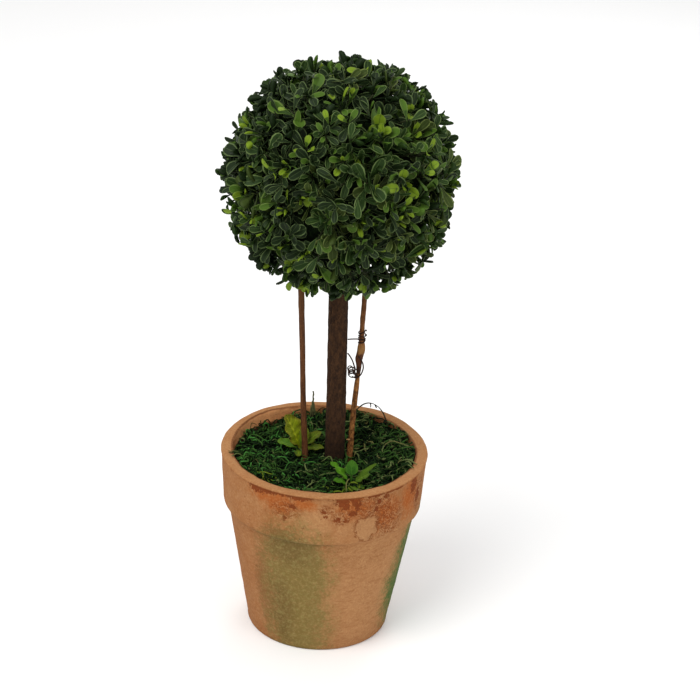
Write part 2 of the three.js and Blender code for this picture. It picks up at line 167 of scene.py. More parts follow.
class StageSettings(bpy.types.PropertyGroup):
    floor: bpy.props.FloatVectorProperty(
        name="Floor", description="Colour of the floor", subtype="COLOR", default=(0.9, 0.9, 0.9))
    sky: bpy.props.FloatProperty(
        name="Sky", description="Strength of the light from all around", default=0.75)
    key: bpy.props.FloatProperty(
        name="Key light", description="Power of the large lamp above", default=34, unit="POWER")


# Shared tools

def deselect():
    """Nothing is selected, so that an operator acts on the new piece alone."""
    bpy.ops.object.select_all(action="DESELECT")


def hand_in(piece, slot, *nodes):
    """Settles a finished piece: its body and the nodes that it replaces. Its slot is not used."""
    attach(piece, "root")
    if nodes:
        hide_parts(*nodes)


def seeded(seed):
    """Random numbers from 0 to 1, by the source's rule."""
    state = seed & 0xFFFFFFFF

    def draw():
        nonlocal state
        state = (state + 0x6D2B79F5) & 0xFFFFFFFF
        mixed = ((state ^ (state >> 15)) * (state | 1)) & 0xFFFFFFFF
        mixed ^= (mixed + (((mixed ^ (mixed >> 7)) * (mixed | 61)) & 0xFFFFFFFF)) & 0xFFFFFFFF
        return ((mixed ^ (mixed >> 14)) & 0xFFFFFFFF) / 4294967296

    return draw


def between(random, low, high):
    return low + (high - low) * random()


def leaning(axis, away, turn):
    """A direction turned away from an axis, on the side that a turn round the axis gives."""
    side = Vector((0, 0, 1)) if abs(axis.z) < 0.9 else Vector((1, 0, 0))
    across = Matrix.Rotation(turn, 3, axis) @ axis.cross(side).normalized()
    return axis * math.cos(away) + across * math.sin(away)


def mesh_piece(name, corners, faces, materials, picks=None):
    """A smooth mesh from arrays: faces is a list of index arrays, and picks gives each face its material."""
    mesh = bpy.data.meshes.new(name)
    mesh.vertices.add(len(corners))
    mesh.vertices.foreach_set("co", np.asarray(corners, dtype=np.float32).ravel())
    loops = np.concatenate([block.ravel() for block in faces]).astype(np.int32)
    sides = np.concatenate([np.full(len(block), block.shape[1]) for block in faces])
    starts = np.concatenate([[0], np.cumsum(sides)[:-1]]).astype(np.int32)
    mesh.loops.add(len(loops))
    mesh.loops.foreach_set("vertex_index", loops)
    mesh.polygons.add(len(starts))
    mesh.polygons.foreach_set("loop_start", starts)
    mesh.polygons.foreach_set("use_smooth", np.ones(len(starts), dtype=bool))
    for material in materials:
        mesh.materials.append(material)
    if picks is not None:
        mesh.polygons.foreach_set("material_index", np.asarray(picks, dtype=np.int32))
    mesh.update(calc_edges=True)
    mesh.validate()
    piece = bpy.data.objects.new(name, mesh)
    bpy.context.collection.objects.link(piece)
    return piece


def tubes(paths, radii, sides):
    """Closed tubes along many paths at once: paths is (tubes, places, 3) and radii (tubes, places)."""
    count, places, _ = paths.shape
    along = np.gradient(paths, axis=1)
    along /= np.linalg.norm(along, axis=2, keepdims=True) + 1e-12
    guide = np.where(np.abs(along[..., 2:3]) < 0.9, [[[0.0, 0.0, 1.0]]], [[[1.0, 0.0, 0.0]]])
    across = np.cross(along, guide)
    across /= np.linalg.norm(across, axis=2, keepdims=True) + 1e-12
    upward = np.cross(across, along)
    turn = np.arange(sides) * 2 * math.pi / sides
    ring = across[:, :, None] * np.cos(turn)[:, None] + upward[:, :, None] * np.sin(turn)[:, None]
    corners = (paths[:, :, None] + ring * radii[:, :, None, None]).reshape(-1, 3)
    step, side = np.meshgrid(np.arange(places - 1), np.arange(sides), indexing="ij")
    after = (side + 1) % sides
    here, there = step * sides, (step + 1) * sides
    wall = np.stack([here + side, there + side, there + after, here + after], -1).reshape(-1, 4)
    base = (np.arange(count) * places * sides)[:, None, None]
    first = np.arange(sides)[None, None]
    last = (places - 1) * sides + np.arange(sides)[::-1]
    quads = (wall[None] + base).reshape(-1, 4)
    ends = np.concatenate([(first + base).reshape(-1, sides), (last[None, None] + base).reshape(-1, sides)])
    return corners, [quads, ends]


def hump(value, middle, reach):
    """1 where a value is at its middle, falling off softly to either side."""
    return math.exp(-(((value - middle) / reach) ** 2))


def limit(value, low=0.0, high=1.0):
    """A value kept between two others."""
    return max(low, min(high, value))


def smooth_between(places, height):
    """X and Y at heights on a smooth curve through rising places."""
    places = np.asarray(places, dtype=float)
    z = places[:, 2]
    slopes = np.gradient(places[:, :2], z, axis=0)
    step = np.clip(np.searchsorted(z, height) - 1, 0, len(z) - 2)
    span = z[step + 1] - z[step]
    share = np.clip((height - z[step]) / span, 0, 1)[:, None]
    span = span[:, None]
    start, end = places[step, :2], places[step + 1, :2]
    from_start = (2 * share**3 - 3 * share**2 + 1) * start
    leaving = (share**3 - 2 * share**2 + share) * span * slopes[step]
    to_end = (3 * share**2 - 2 * share**3) * end
    arriving = (share**3 - share**2) * span * slopes[step + 1]
    return from_start + leaving + to_end + arriving


# Materials

def new_material(name, roughness, specular):
    """A material and its shader, with the constants that every finish sets."""
    material = bpy.data.materials.new(name)
    material.use_nodes = True
    shader = material.node_tree.nodes["Principled BSDF"]
    shader.inputs["Roughness"].default_value = roughness
    shader.inputs["Specular IOR Level"].default_value = specular
    return material, shader


def plain_material(name, colour, roughness, specular):
    """A material of one base colour, as the many small leaves and strands have."""
    material, shader = new_material(name, roughness, specular)
    shader.inputs["Base Color"].default_value = (*colour, 1)
    return material


def darkened(colour, share):
    """A colour with each part at a share of what it was."""
    return tuple(part * share for part in colour)


def grain_group():
    """Fine grain on object coordinates: a mask from 0 to 1 between two noise levels."""
    name = "fine_grain"
    if name in bpy.data.node_groups:
        return bpy.data.node_groups[name]
    group = bpy.data.node_groups.new(name, "ShaderNodeTree")
    group.interface.new_socket(name="Stretch", in_out="INPUT", socket_type="NodeSocketVector")
    for label in ("Scale", "Low", "High", "Warp"):
        group.interface.new_socket(name=label, in_out="INPUT", socket_type="NodeSocketFloat")
    group.interface.new_socket(name="Mask", in_out="OUTPUT", socket_type="NodeSocketFloat")
    nodes = group.nodes
    given = nodes.new("NodeGroupInput").outputs
    result = nodes.new("NodeGroupOutput")
    place = nodes.new("ShaderNodeTexCoord")
    stretch = nodes.new("ShaderNodeVectorMath")
    stretch.operation = "MULTIPLY"
    pattern = nodes.new("ShaderNodeTexNoise")
    pattern.inputs["Detail"].default_value = 5
    pattern.inputs["Roughness"].default_value = 0.6
    levels = nodes.new("ShaderNodeMapRange")
    wires = (
        (place.outputs["Object"], stretch.inputs[0]),
        (given["Stretch"], stretch.inputs[1]),
        (stretch.outputs[0], pattern.inputs["Vector"]),
        (given["Scale"], pattern.inputs["Scale"]),
        (given["Warp"], pattern.inputs["Distortion"]),
        (pattern.outputs["Fac"], levels.inputs["Value"]),
        (given["Low"], levels.inputs["From Min"]),
        (given["High"], levels.inputs["From Max"]),
        (levels.outputs["Result"], result.inputs["Mask"]),
    )
    for source, target in wires:
        group.links.new(source, target)
    return group


class Finish:
    """A material under construction, with short calls for its nodes. Its tone is the colour so far."""

    def __init__(self, name, roughness, specular, tone):
        self.material, self.shader = new_material(name, roughness, specular)
        self.nodes = self.material.node_tree.nodes
        self.links = self.material.node_tree.links
        self.place = self.nodes.new("ShaderNodeTexCoord")
        self.tone = tone

    def put(self, value, socket):
        """Sets a socket to a constant, or links it to another socket."""
        if isinstance(value, bpy.types.NodeSocket):
            self.links.new(value, socket)
        elif socket.type == "RGBA":
            socket.default_value = (*value, 1)
        else:
            socket.default_value = value

    def grain(self, scale, low, high, stretch=(1, 1, 1), warp=0.0):
        """Noise of a scale, as a mask that is 0 below one noise level and 1 above another."""
        node = self.nodes.new("ShaderNodeGroup")
        node.node_tree = grain_group()
        values = {"Stretch": stretch, "Scale": scale, "Low": low, "High": high, "Warp": warp}
        for label, value in values.items():
            node.inputs[label].default_value = value
        return node.outputs["Mask"]

    def uneven(self, scale, span, low=0.3, high=0.7, warp=0.0):
        """Grain from half a span below zero to half a span above it."""
        return self.times(self.add(self.grain(scale, low, high, warp=warp), -0.5), span)

    def math(self, operation, first, second=0.0):
        node = self.nodes.new("ShaderNodeMath")
        node.operation = operation
        self.put(first, node.inputs[0])
        self.put(second, node.inputs[1])
        return node.outputs[0]

    def add(self, first, second):
        return self.math("ADD", first, second)

    def times(self, first, *others):
        """The product of two or more values."""
        for other in others:
            first = self.math("MULTIPLY", first, other)
        return first

    def levels(self, value, low, high):
        """0 below one level and 1 above another, with a smooth slope between them."""
        node = self.nodes.new("ShaderNodeMapRange")
        node.interpolation_type = "SMOOTHSTEP"
        self.put(value, node.inputs["Value"])
        node.inputs["From Min"].default_value = low
        node.inputs["From Max"].default_value = high
        return node.outputs["Result"]

    def near(self, value, middle, reach):
        """1 where a value is at its middle, falling to 0 at a reach to either side."""
        return self.levels(self.math("ABSOLUTE", self.math("SUBTRACT", value, middle)), reach, 0.0)

    def mix(self, mask, first, second, strength=1.0):
        """The first colour where a mask is 0, and the second by a strength where it is 1."""
        node = self.nodes.new("ShaderNodeMix")
        node.data_type = "RGBA"
        self.put(mask if strength == 1.0 else self.times(mask, strength), node.inputs["Factor"])
        self.put(first, node.inputs[6])
        self.put(second, node.inputs[7])
        return node.outputs[2]

    def paint(self, mask, tint, strength=1.0):
        """Lays a tint over the tone where a mask says."""
        self.tone = self.mix(mask, self.tone, tint, strength)

    def parts(self, vector):
        node = self.nodes.new("ShaderNodeSeparateXYZ")
        self.links.new(vector, node.inputs[0])
        return node.outputs

    def height(self):
        """The height above the ground, in metres."""
        return self.parts(self.place.outputs["Object"])[2]

    def settle(self, relief, distance):
        """Ends a material: its tone becomes its base colour, and its relief goes into the normal."""
        self.put(self.tone, self.shader.inputs["Base Color"])
        node = self.nodes.new("ShaderNodeBump")
        node.inputs["Distance"].default_value = distance
        self.put(relief, node.inputs["Height"])
        self.links.new(node.outputs["Normal"], self.shader.inputs["Normal"])
        return self.material


class Wall:
    """Places on the pot's wall: a turn from the front in degrees, and a height and a distance away in mm."""

    def __init__(self, finish):
        self.finish = finish
        x, y, z = finish.parts(finish.place.outputs["Object"])
        self.turn = finish.times(finish.math("ARCTAN2", x, finish.times(y, -1.0)), 180 / math.pi)
        self.height = finish.times(z, 1 / MM)
        squared = finish.add(finish.times(x, x), finish.times(y, y))
        self.away = finish.times(finish.math("SQRT", squared), 1 / MM)
        joined = finish.nodes.new("ShaderNodeCombineXYZ")
        finish.put(self.turn, joined.inputs[0])
        finish.put(self.height, joined.inputs[1])
        self.flat = joined.outputs[0]

    def spot(self, turn, height, wide, tall):
        """1 at a place on the wall, falling to 0 at the edge of an oval round it."""
        mapping = self.finish.nodes.new("ShaderNodeMapping")
        mapping.vector_type = "TEXTURE"
        mapping.inputs["Location"].default_value = (turn, height, 0)
        mapping.inputs["Scale"].default_value = (wide, tall, 1)
        oval = self.finish.nodes.new("ShaderNodeTexGradient")
        oval.gradient_type = "SPHERICAL"
        self.finish.links.new(self.flat, mapping.inputs["Vector"])
        self.finish.links.new(mapping.outputs["Vector"], oval.inputs["Vector"])
        return oval.outputs["Fac"]

    def spots(self, places):
        """The strongest of several ovals."""
        strongest = self.spot(*places[0])
        for place in places[1:]:
            strongest = self.finish.math("MAXIMUM", strongest, self.spot(*place))
        return strongest

    def ragged(self, places, grain, span, low, high):
        """A mask of several ovals with its edge broken up by grain."""
        uneven = self.finish.times(self.finish.add(grain, -0.5), span)
        return self.finish.levels(self.finish.add(self.spots(places), uneven), low, high)


# Places on the pot's wall: a turn from the front in degrees, a height in mm, and a reach along both
RUST_SPOTS = [
    (-38, 141, 9, 6.5), (-31, 141.4, 9, 4.6), (-24, 141.8, 8, 2.8), (-12, 141.8, 10, 4.2), (-17, 142, 6, 2.4),
    (11, 139.5, 6, 8), (12.6, 135, 4.4, 5.8), (18, 139.5, 5, 6), (20, 135, 3.4, 6.6), (17.5, 129, 3.4, 4.2),
    (15, 142.2, 14, 2.6), (31, 141.2, 9, 2), (33.5, 135.5, 3, 3.6), (31.5, 129.5, 2.4, 4),
    (37.5, 138, 3, 2.6), (44, 141.4, 12, 2), (9, 124.5, 3.2, 2.4), (13.5, 123, 2.2, 2.2),
    (61, 136, 5, 12), (68, 124, 4, 10),
    (-20.5, 122, 1.8, 4), (-15.5, 132.5, 3.2, 2.4), (1, 131, 2.4, 2), (2.5, 127, 1.8, 1.8), (95, 139, 14, 5),
    (128, 136, 10, 8), (-150, 139, 14, 5), (-95, 140.5, 10, 3), (-118, 132, 7, 7), (162, 140.6, 13, 4),
    (155, 132, 4, 6),
]
ORANGE_SPOTS = [
    (-24, 134, 16, 15), (-35, 137, 12, 8), (-11, 136, 11, 8), (19, 134, 15, 15), (39, 123, 15, 20),
    (58, 128, 13, 24), (118, 128, 24, 18), (-135, 130, 24, 16), (155, 130, 22, 18),
]
FLAKY_SPOTS = [
    (30, 132, 20, 14), (41, 118, 15, 22), (11, 126, 10, 9), (3, 132, 7, 6), (-20, 129, 12, 11),
    (70, 124, 10, 20), (120, 128, 20, 16), (-130, 130, 20, 14),
]
CREAM_SPOTS = [(26.5, 114.5, 10.5, 15)]
PALE_SPOTS = [(32, 45, 62, 110), (-2, 122, 15, 16)]
SHADED_SPOTS = [(-80, 60, 46, 120)]
SMUDGE_SPOTS = [(-25, 108, 17, 9), (-39, 50, 13, 62)]
OLIVE_SPOTS = [(-15, 66, 35, 74), (-15, 24, 38, 70), (-17, 90, 32, 30)]
DARK_OLIVE_SPOTS = [(-19, 94, 32, 28), (-27, 34, 16, 52)]
GREEN_SPOTS = [(85, 44, 43, 62), (90, 78, 41, 42)]
SCRATCHED_SPOTS = [(10, 88, 14, 26), (30, 84, 22, 14)]
# Heights on the pot in millimetres: the groove under the band, and the lip's lower edge
GROOVE_HEIGHT = 101.7
LIP_HEIGHT = 141.7
# The rim's crease as its distance from the axis in millimetres, and where it is worn away: a turn and a reach
CREASE_AWAY = 69.0
WORN_TURN = -132
WORN_REACH = 26
CLAY_TINTS = {
    "ruddy": (0.27, 0.098, 0.032),
    "pale": (0.43, 0.22, 0.095),
    "shaded": (0.27, 0.1, 0.033),
    "streak": (0.22, 0.078, 0.024),
    "mottle": (0.27, 0.11, 0.038),
    "foot": (0.22, 0.08, 0.026),
    "orange": (0.33, 0.078, 0.012),
    "fleck": (0.2, 0.044, 0.009),
    "dot": (0.165, 0.036, 0.008),
    "chalk": (0.48, 0.28, 0.135),
    "cream": (0.4, 0.205, 0.09),
    "outline": (0.17, 0.044, 0.011),
    "bright rust": (0.22, 0.052, 0.012),
    # The lip's line is painted shadow under the rim's ring.
    "lip shadow line": (0.2, 0.062, 0.018),
    "rim": (0.45, 0.23, 0.1),
    "rim mottle": (0.3, 0.105, 0.034),
    # The crease tints are painted shade in the groove round the mouth.
    "crease": (0.15, 0.042, 0.014),
    "deep crease shade": (0.09, 0.022, 0.007),
    "inner wall": (0.32, 0.12, 0.04),
    "lit wall": (0.56, 0.25, 0.1),
    # Painted shadow on the inner wall where it meets the moss.
    "gap_shadow": (0.02, 0.012, 0.006),
    # The groove tint is painted shade in the groove under the band.
    "groove_shade_and_smudges": (0.06, 0.035, 0.012),
    "smudge": (0.13, 0.06, 0.019),
    "scratch": (0.17, 0.06, 0.018),
    "dark grain": (0.16, 0.068, 0.022),
    "olive grain": (0.26, 0.22, 0.075),
    "light grain": (0.48, 0.3, 0.13),
    "chalk grain": (0.48, 0.28, 0.12),
}


def bare_clay(finish, wall, bloom):
    """The clay itself: bloom, mottling, a paler right side, and darker at the left and the foot."""
    finish.paint(finish.grain(42, 0.34, 0.68), bloom, 0.5)
    finish.paint(finish.grain(130, 0.42, 0.7, warp=0.8), bloom, 0.3)
    finish.paint(finish.grain(75, 0.52, 0.75, (1, 1, 0.35), 0.6), CLAY_TINTS["ruddy"], 0.3)
    finish.paint(finish.levels(wall.spots(PALE_SPOTS), 0.0, 0.75), CLAY_TINTS["pale"], 0.66)
    finish.paint(finish.levels(wall.spots(SHADED_SPOTS), 0.0, 0.8), CLAY_TINTS["shaded"], 0.3)
    under_band = finish.levels(wall.height, 102, 98)
    streaks = finish.times(finish.grain(140, 0.5, 0.62, (1, 1, 4), 0.8), under_band)
    finish.paint(streaks, CLAY_TINTS["streak"], 0.4)
    finish.paint(finish.grain(110, 0.5, 0.66, warp=0.8), CLAY_TINTS["mottle"], 0.22)
    finish.paint(finish.levels(wall.height, 14, 0), CLAY_TINTS["foot"], 0.3)


def flaked_band(finish, wall, crooked, under_lip):
    """Orange stains on the band, and fine flaking drawn as short crooked lines. Gives the lines' mask."""
    soft = wall.ragged(ORANGE_SPOTS, finish.grain(190, 0.3, 0.7, warp=0.8), 0.5, 0.05, 0.75)
    finish.paint(finish.times(soft, under_lip), CLAY_TINTS["orange"], 0.9)
    flaky = finish.times(finish.levels(wall.spots(FLAKY_SPOTS), 0.0, 0.6), under_lip)
    flecks = finish.times(finish.near(crooked, 0.5, 0.14), flaky)
    finish.paint(flecks, CLAY_TINTS["fleck"], 0.85)
    dots = finish.grain(300, 0.56, 0.6, warp=1.5)
    finish.paint(finish.times(dots, flaky), CLAY_TINTS["dot"], 0.85)
    chalky = finish.near(crooked, 0.66, 0.1)
    finish.paint(finish.times(chalky, flaky), CLAY_TINTS["chalk"], 0.45)
    return flecks


def cream_island(finish, wall, on_band):
    """A cream island with a rusty outline, where the old surface is left. Gives the island's mask."""
    islands = finish.add(wall.spots(CREAM_SPOTS), finish.uneven(150, 0.42, warp=1.0))
    island = finish.times(finish.levels(islands, 0.34, 0.42), on_band)
    finish.paint(island, CLAY_TINTS["cream"], 0.65)
    finish.paint(finish.times(finish.near(islands, 0.31, 0.11), on_band), CLAY_TINTS["outline"], 0.85)
    return island


def lip_stains(finish, wall, rust, under_lip):
    """The dark stains that hang from the lip. Gives their mask."""
    coarse = finish.times(finish.grain(300, 0.3, 0.7, warp=1.6), 0.62)
    fine = finish.times(finish.grain(900, 0.3, 0.7, (1, 1, 0.6)), 0.38)
    stains = finish.times(wall.ragged(RUST_SPOTS, finish.add(coarse, fine), 1.3, 0.36, 0.44), under_lip)
    tint = finish.mix(finish.grain(420, 0.3, 0.7), rust, CLAY_TINTS["bright rust"], 0.6)
    finish.paint(stains, tint, 0.95)
    return stains


def rim_wear_and_shade(finish, wall):
    """The rim: a dark orange line painted as the lip's shadow, a crease round the mouth, worn at one side and
    darkened with painted shade, and the wall inside it, with painted light at the worn place and painted
    shadow above the moss.
    """
    # A dark line along the lip's lower edge: painted shadow under the rim's ring.
    crumbly = finish.add(wall.height, finish.uneven(260, 1.8, warp=1))
    line = finish.times(finish.near(crumbly, LIP_HEIGHT, 0.8), finish.levels(wall.away, 75.8, 76.4))
    finish.paint(line, CLAY_TINTS["lip shadow line"], 0.6)
    on_top = finish.levels(wall.height, 142.6, 143.4)
    finish.paint(on_top, CLAY_TINTS["rim"], 0.45)
    finish.paint(finish.times(finish.grain(150, 0.5, 0.62, warp=1.2), on_top), CLAY_TINTS["rim mottle"], 0.35)
    off = finish.times(finish.add(wall.turn, -WORN_TURN), 1 / WORN_REACH)
    worn = finish.math("EXPONENT", finish.times(off, off, -1.0))
    inward = finish.add(wall.away, finish.times(worn, -2.4))
    # Painted shade along the crease between the rim's top and the inner wall.
    crease = finish.add(finish.near(inward, CREASE_AWAY, 1.5), finish.uneven(230, 0.5))
    deep = finish.levels(wall.height, 138, 141)
    finish.paint(finish.times(finish.levels(crease, 0.25, 0.7), deep), CLAY_TINTS["crease"], 0.7)
    inside = finish.times(finish.levels(inward, 68.6, 68.0), finish.levels(wall.height, 118, 122))
    finish.paint(inside, CLAY_TINTS["inner wall"], 0.6)
    lit = finish.times(inside, worn, finish.levels(wall.height, 136, 138))
    finish.paint(lit, CLAY_TINTS["lit wall"], 0.85)
    # Darker painted shade in the crease at the worn place.
    deep_crease_shade = finish.times(worn, finish.near(inward, CREASE_AWAY, 0.9), deep)
    finish.paint(deep_crease_shade, CLAY_TINTS["deep crease shade"], 0.75)
    # Painted shadow low on the inner wall, just above the moss.
    gap_shadow = finish.times(inside, finish.levels(wall.height, 138.5, 136.5))
    finish.paint(gap_shadow, CLAY_TINTS["gap_shadow"], 0.9)


def groove_shade_and_smudges(finish, wall):
    """Painted shade in the groove under the band at the front left, and brown smudges round the olive patch.
    """
    # The groove's dark line is painted shade under the overhanging band.
    groove = finish.near(wall.height, GROOVE_HEIGHT, 1.9)
    inner = finish.levels(wall.away, 75.2, 74.2)
    front_left = finish.levels(wall.turn, 24, -6)
    finish.paint(finish.times(groove, inner, front_left), CLAY_TINTS["groove_shade_and_smudges"], 0.85)
    smudged = wall.ragged(SMUDGE_SPOTS, finish.grain(420, 0.3, 0.7), 0.5, 0.1, 0.7)
    finish.paint(smudged, CLAY_TINTS["smudge"], 0.52)


def sprayed_patches(finish, wall, sizes):
    """Sprayed colour: a soft olive patch in front, and green at the right. Gives the olive one's mask."""
    drift = finish.add(finish.uneven(95, 0.35, 0.25, 0.75), finish.uneven(420, 0.3))

    def sprayed(places, low, high):
        spots = wall.spots(places)
        spread = finish.add(spots, finish.times(drift, finish.levels(spots, 0.0, 0.3)))
        return finish.levels(spread, low, high)

    patch = sprayed(OLIVE_SPOTS, 0.04, 0.66)
    darker = finish.levels(wall.spots(DARK_OLIVE_SPOTS), 0.0, 0.85)
    finish.paint(patch, finish.mix(darker, tuple(sizes.olive), darkened(sizes.olive, 0.66)), 0.84)
    finish.paint(sprayed(GREEN_SPOTS, 0.06, 0.62), tuple(sizes.green), 0.9)
    return patch


def clay_grains(finish, patch, bare):
    """Fine grains over everything, dark and pale ones. Gives their mask."""
    grains = finish.grain(640, 0.34, 0.66)
    finish.paint(grains, CLAY_TINTS["dark grain"], 0.24)
    finish.paint(finish.times(finish.grain(330, 0.5, 0.64), patch), CLAY_TINTS["olive grain"], 0.4)
    finish.paint(finish.times(finish.levels(grains, 0.55, 0.0), bare), CLAY_TINTS["light grain"], 0.18)
    finish.paint(finish.times(finish.grain(250, 0.4, 0.7), bare), CLAY_TINTS["chalk grain"], 0.08)
    return grains


def terracotta(sizes):
    """Weathered clay: grainy, flaking and rusty under the lip, sprayed olive in front and green at a side."""
    finish = Finish("terracotta", 0.92, 0.1, tuple(sizes.clay))
    wall = Wall(finish)
    crooked = finish.grain(230, 0.25, 0.75, warp=1.6)
    on_band = finish.levels(wall.height, GROOVE_HEIGHT - 0.2, GROOVE_HEIGHT + 2.3)
    under_lip = finish.times(on_band, finish.levels(wall.height, LIP_HEIGHT + 0.9, LIP_HEIGHT + 0.3))
    bare_clay(finish, wall, tuple(sizes.bloom))
    flecks = flaked_band(finish, wall, crooked, under_lip)
    island = cream_island(finish, wall, on_band)
    stains = lip_stains(finish, wall, tuple(sizes.rust), under_lip)
    rim_wear_and_shade(finish, wall)
    groove_shade_and_smudges(finish, wall)
    patch = sprayed_patches(finish, wall, sizes)
    scratched = finish.levels(wall.spots(SCRATCHED_SPOTS), 0.0, 0.6)
    finish.paint(finish.times(finish.near(crooked, 0.45, 0.08), scratched), CLAY_TINTS["scratch"], 0.45)
    bare = finish.levels(finish.math("MAXIMUM", stains, flecks), 0.8, 0.1)
    grains = clay_grains(finish, patch, bare)
    lumps = finish.times(finish.grain(190, 0.2, 0.8, warp=0.5), 0.6)
    raised = finish.add(finish.add(finish.times(grains, -0.4), lumps), finish.times(island, 0.35))
    sunk = finish.add(finish.times(stains, 0.5), finish.times(flecks, 0.25))
    return finish.settle(finish.math("SUBTRACT", raised, sunk), 0.5 * MM)


def bark(name, colour, dark, roughness, scale, stretch):
    """Bark with fibres drawn out along the limb and flecks painted lighter as highlights that catch the
    light. Gives its relief too.
    """
    finish = Finish(name, roughness, 0.1, tuple(dark))
    fibres = finish.grain(scale, 0.36, 0.64, stretch, 0.4)
    flecks = finish.grain(scale * 2.2, 0.5, 0.7, (1, 1, 0.5))
    finish.paint(fibres, tuple(colour))
    # The flecks are painted highlights.
    finish.paint(flecks, tuple(part * 1.8 for part in colour), 0.5)
    return finish, finish.add(fibres, finish.times(flecks, 0.5))


def trunk_bark(sizes):
    """The trunk's bark, darker at its foot."""
    finish, ridges = bark("dark_bark", sizes.dark_bark, (0.02, 0.01, 0.006), 0.9, 480, (1, 1, 0.4))
    finish.paint(finish.levels(finish.height(), 175 * MM, 138 * MM), (0.012, 0.007, 0.004), 0.6)
    return finish.settle(ridges, 0.6 * MM)


def left_bark(sizes):
    """The left stem's bark, paler towards the ball."""
    finish, ridges = bark("red_bark", sizes.red_bark, (0.045, 0.016, 0.007), 0.75, 620, (1, 1, 0.14))
    finish.paint(finish.levels(finish.height(), 190 * MM, 280 * MM), (0.13, 0.06, 0.026), 0.35)
    return finish.settle(ridges, 0.25 * MM)


def vine_bark(sizes):
    """The right stem's bark: brown above, pale over the healed knot, dark red below it, tan at the foot."""
    finish, ridges = bark("tan_bark", sizes.tan_bark, (0.08, 0.026, 0.009), 0.75, 560, (1, 1, 0.3))
    height = finish.height()
    rough_height = finish.add(height, finish.uneven(300, 5 * MM))
    over_knot = finish.times(finish.add(rough_height, -sizes.knot_height), 1 / MM)
    finish.paint(finish.levels(over_knot, 9, 12), (0.1, 0.036, 0.014), 0.6)
    finish.paint(finish.near(over_knot, 6, 6), (0.24, 0.125, 0.042), 0.8)
    below = finish.times(finish.levels(over_knot, -12, -8), finish.levels(over_knot, 3, 1))
    finish.paint(below, (0.05, 0.016, 0.01), 0.85)
    specks = finish.grain(560, 0.47, 0.55, (1, 1, 0.6))
    foot = finish.levels(height, 205 * MM, 185 * MM)
    finish.paint(finish.times(specks, foot), (0.045, 0.016, 0.005), 0.65)
    finish.paint(finish.grain(95, 0.5, 0.6, (0.2, 0.2, 1)), (0.06, 0.022, 0.009), 0.55)
    return finish.settle(ridges, 0.3 * MM)


def twig_bark(name, colour, dark, roughness=0.7, scale=1200, stretch=(1, 1, 1), distance=0.1 * MM):
    """The bark of a thin twig or tendril."""
    finish, ridges = bark(name, colour, dark, roughness, scale, stretch)
    return finish.settle(ridges, distance)


def lumpy_material(name, roughness, specular, grain, tints, distance):
    """A material that runs between two tints with its lumps: grain is their scale and levels."""
    dark, pale = tints
    finish = Finish(name, roughness, specular, dark)
    lumps = finish.grain(*grain)
    finish.paint(lumps, pale)
    return finish.settle(lumps, distance)


def blade_material(name, base, rib, margin, margin_share):
    """A plantlet's blade on its own UV map: a pale midrib and side veins, and a margin of another tint."""
    finish = Finish(name, 0.65, 0.08, base)
    across, along, _ = finish.parts(finish.place.outputs["UV"])
    off = finish.math("ABSOLUTE", finish.math("SUBTRACT", across, 0.5))
    midrib = finish.levels(off, 0.06, 0.02)
    slanted = finish.math("SUBTRACT", along, finish.times(off, 0.45))
    veins = finish.times(finish.levels(finish.math("SINE", finish.times(slanted, 46.0)), 0.7, 1.0), 0.55)
    ribs = finish.math("MAXIMUM", midrib, veins)
    uneven = finish.uneven(180, 0.25)
    rim = finish.levels(finish.add(off, uneven), 0.26, 0.5)
    top = finish.levels(finish.add(along, uneven), 0.62, 1.0)
    finish.paint(finish.grain(300, 0.35, 0.7), darkened(base, 0.5), 0.45)
    finish.paint(finish.math("MAXIMUM", rim, top), margin, margin_share)
    finish.paint(ribs, rib, 0.7)
    return finish.settle(ribs, 0.4 * MM)


# Pot

# How finely the pot is divided: steps round it, and the longest upright edge on its walls
ROUND_STEPS = 300
LONGEST_EDGE = 2.4 * MM
# Below this the foot stays flat
FLAT_FOOT = 2.5 * MM


def pot_rings(sizes):
    """The pot's outline as rings of a radius and a height, from the underside over the rim to the floor."""
    edge = 2 * MM
    band_foot = sizes.height - sizes.band_height
    slope = (sizes.mouth_radius - sizes.cavity_foot_radius) / (sizes.height - sizes.floor)
    crease = sizes.mouth_radius + edge * 0.4
    return [
        (sizes.foot_radius - edge, 0),
        (sizes.foot_radius - edge * 0.3, edge * 0.3),
        (sizes.foot_radius, edge),
        (sizes.body_top_radius, band_foot - edge * 0.4),
        (sizes.body_top_radius + edge * 0.2, band_foot - edge * 0.1),
        (sizes.band_foot_radius - edge * 0.45, band_foot),
        (sizes.band_foot_radius, band_foot + edge * 0.6),
        (sizes.rim_radius - edge * 0.3, sizes.height - edge * 1.3),
        (sizes.rim_radius - edge * 0.3, sizes.height - edge * 1.02),
        (sizes.rim_radius, sizes.height - edge * 0.85),
        (sizes.rim_radius - edge * 0.1, sizes.height - edge * 0.4),
        (sizes.rim_radius - edge * 0.9, sizes.height - edge * 0.1),
        (crease + edge * 0.8, sizes.height - edge * 0.12),
        (crease, sizes.height - edge * 0.4),
        (crease - edge * 0.25, sizes.height - edge * 0.9),
        (crease - edge * 0.3, sizes.height - edge * 1.6),
        (sizes.cavity_foot_radius + slope * edge * 2, sizes.floor + edge * 2),
        (sizes.cavity_foot_radius - edge * 2, sizes.floor),
    ]


def bump(turn, middle_deg, reach_deg):
    """A soft rise round one side of the pot."""
    return hump((math.degrees(turn) - middle_deg + 180) % 360 - 180, 0, reach_deg)


def rise_at(turn, places):
    """The sum of several rises round the pot, each as a share, a turn and a reach in degrees."""
    return sum(share * bump(turn, middle, reach) for share, middle, reach in places)


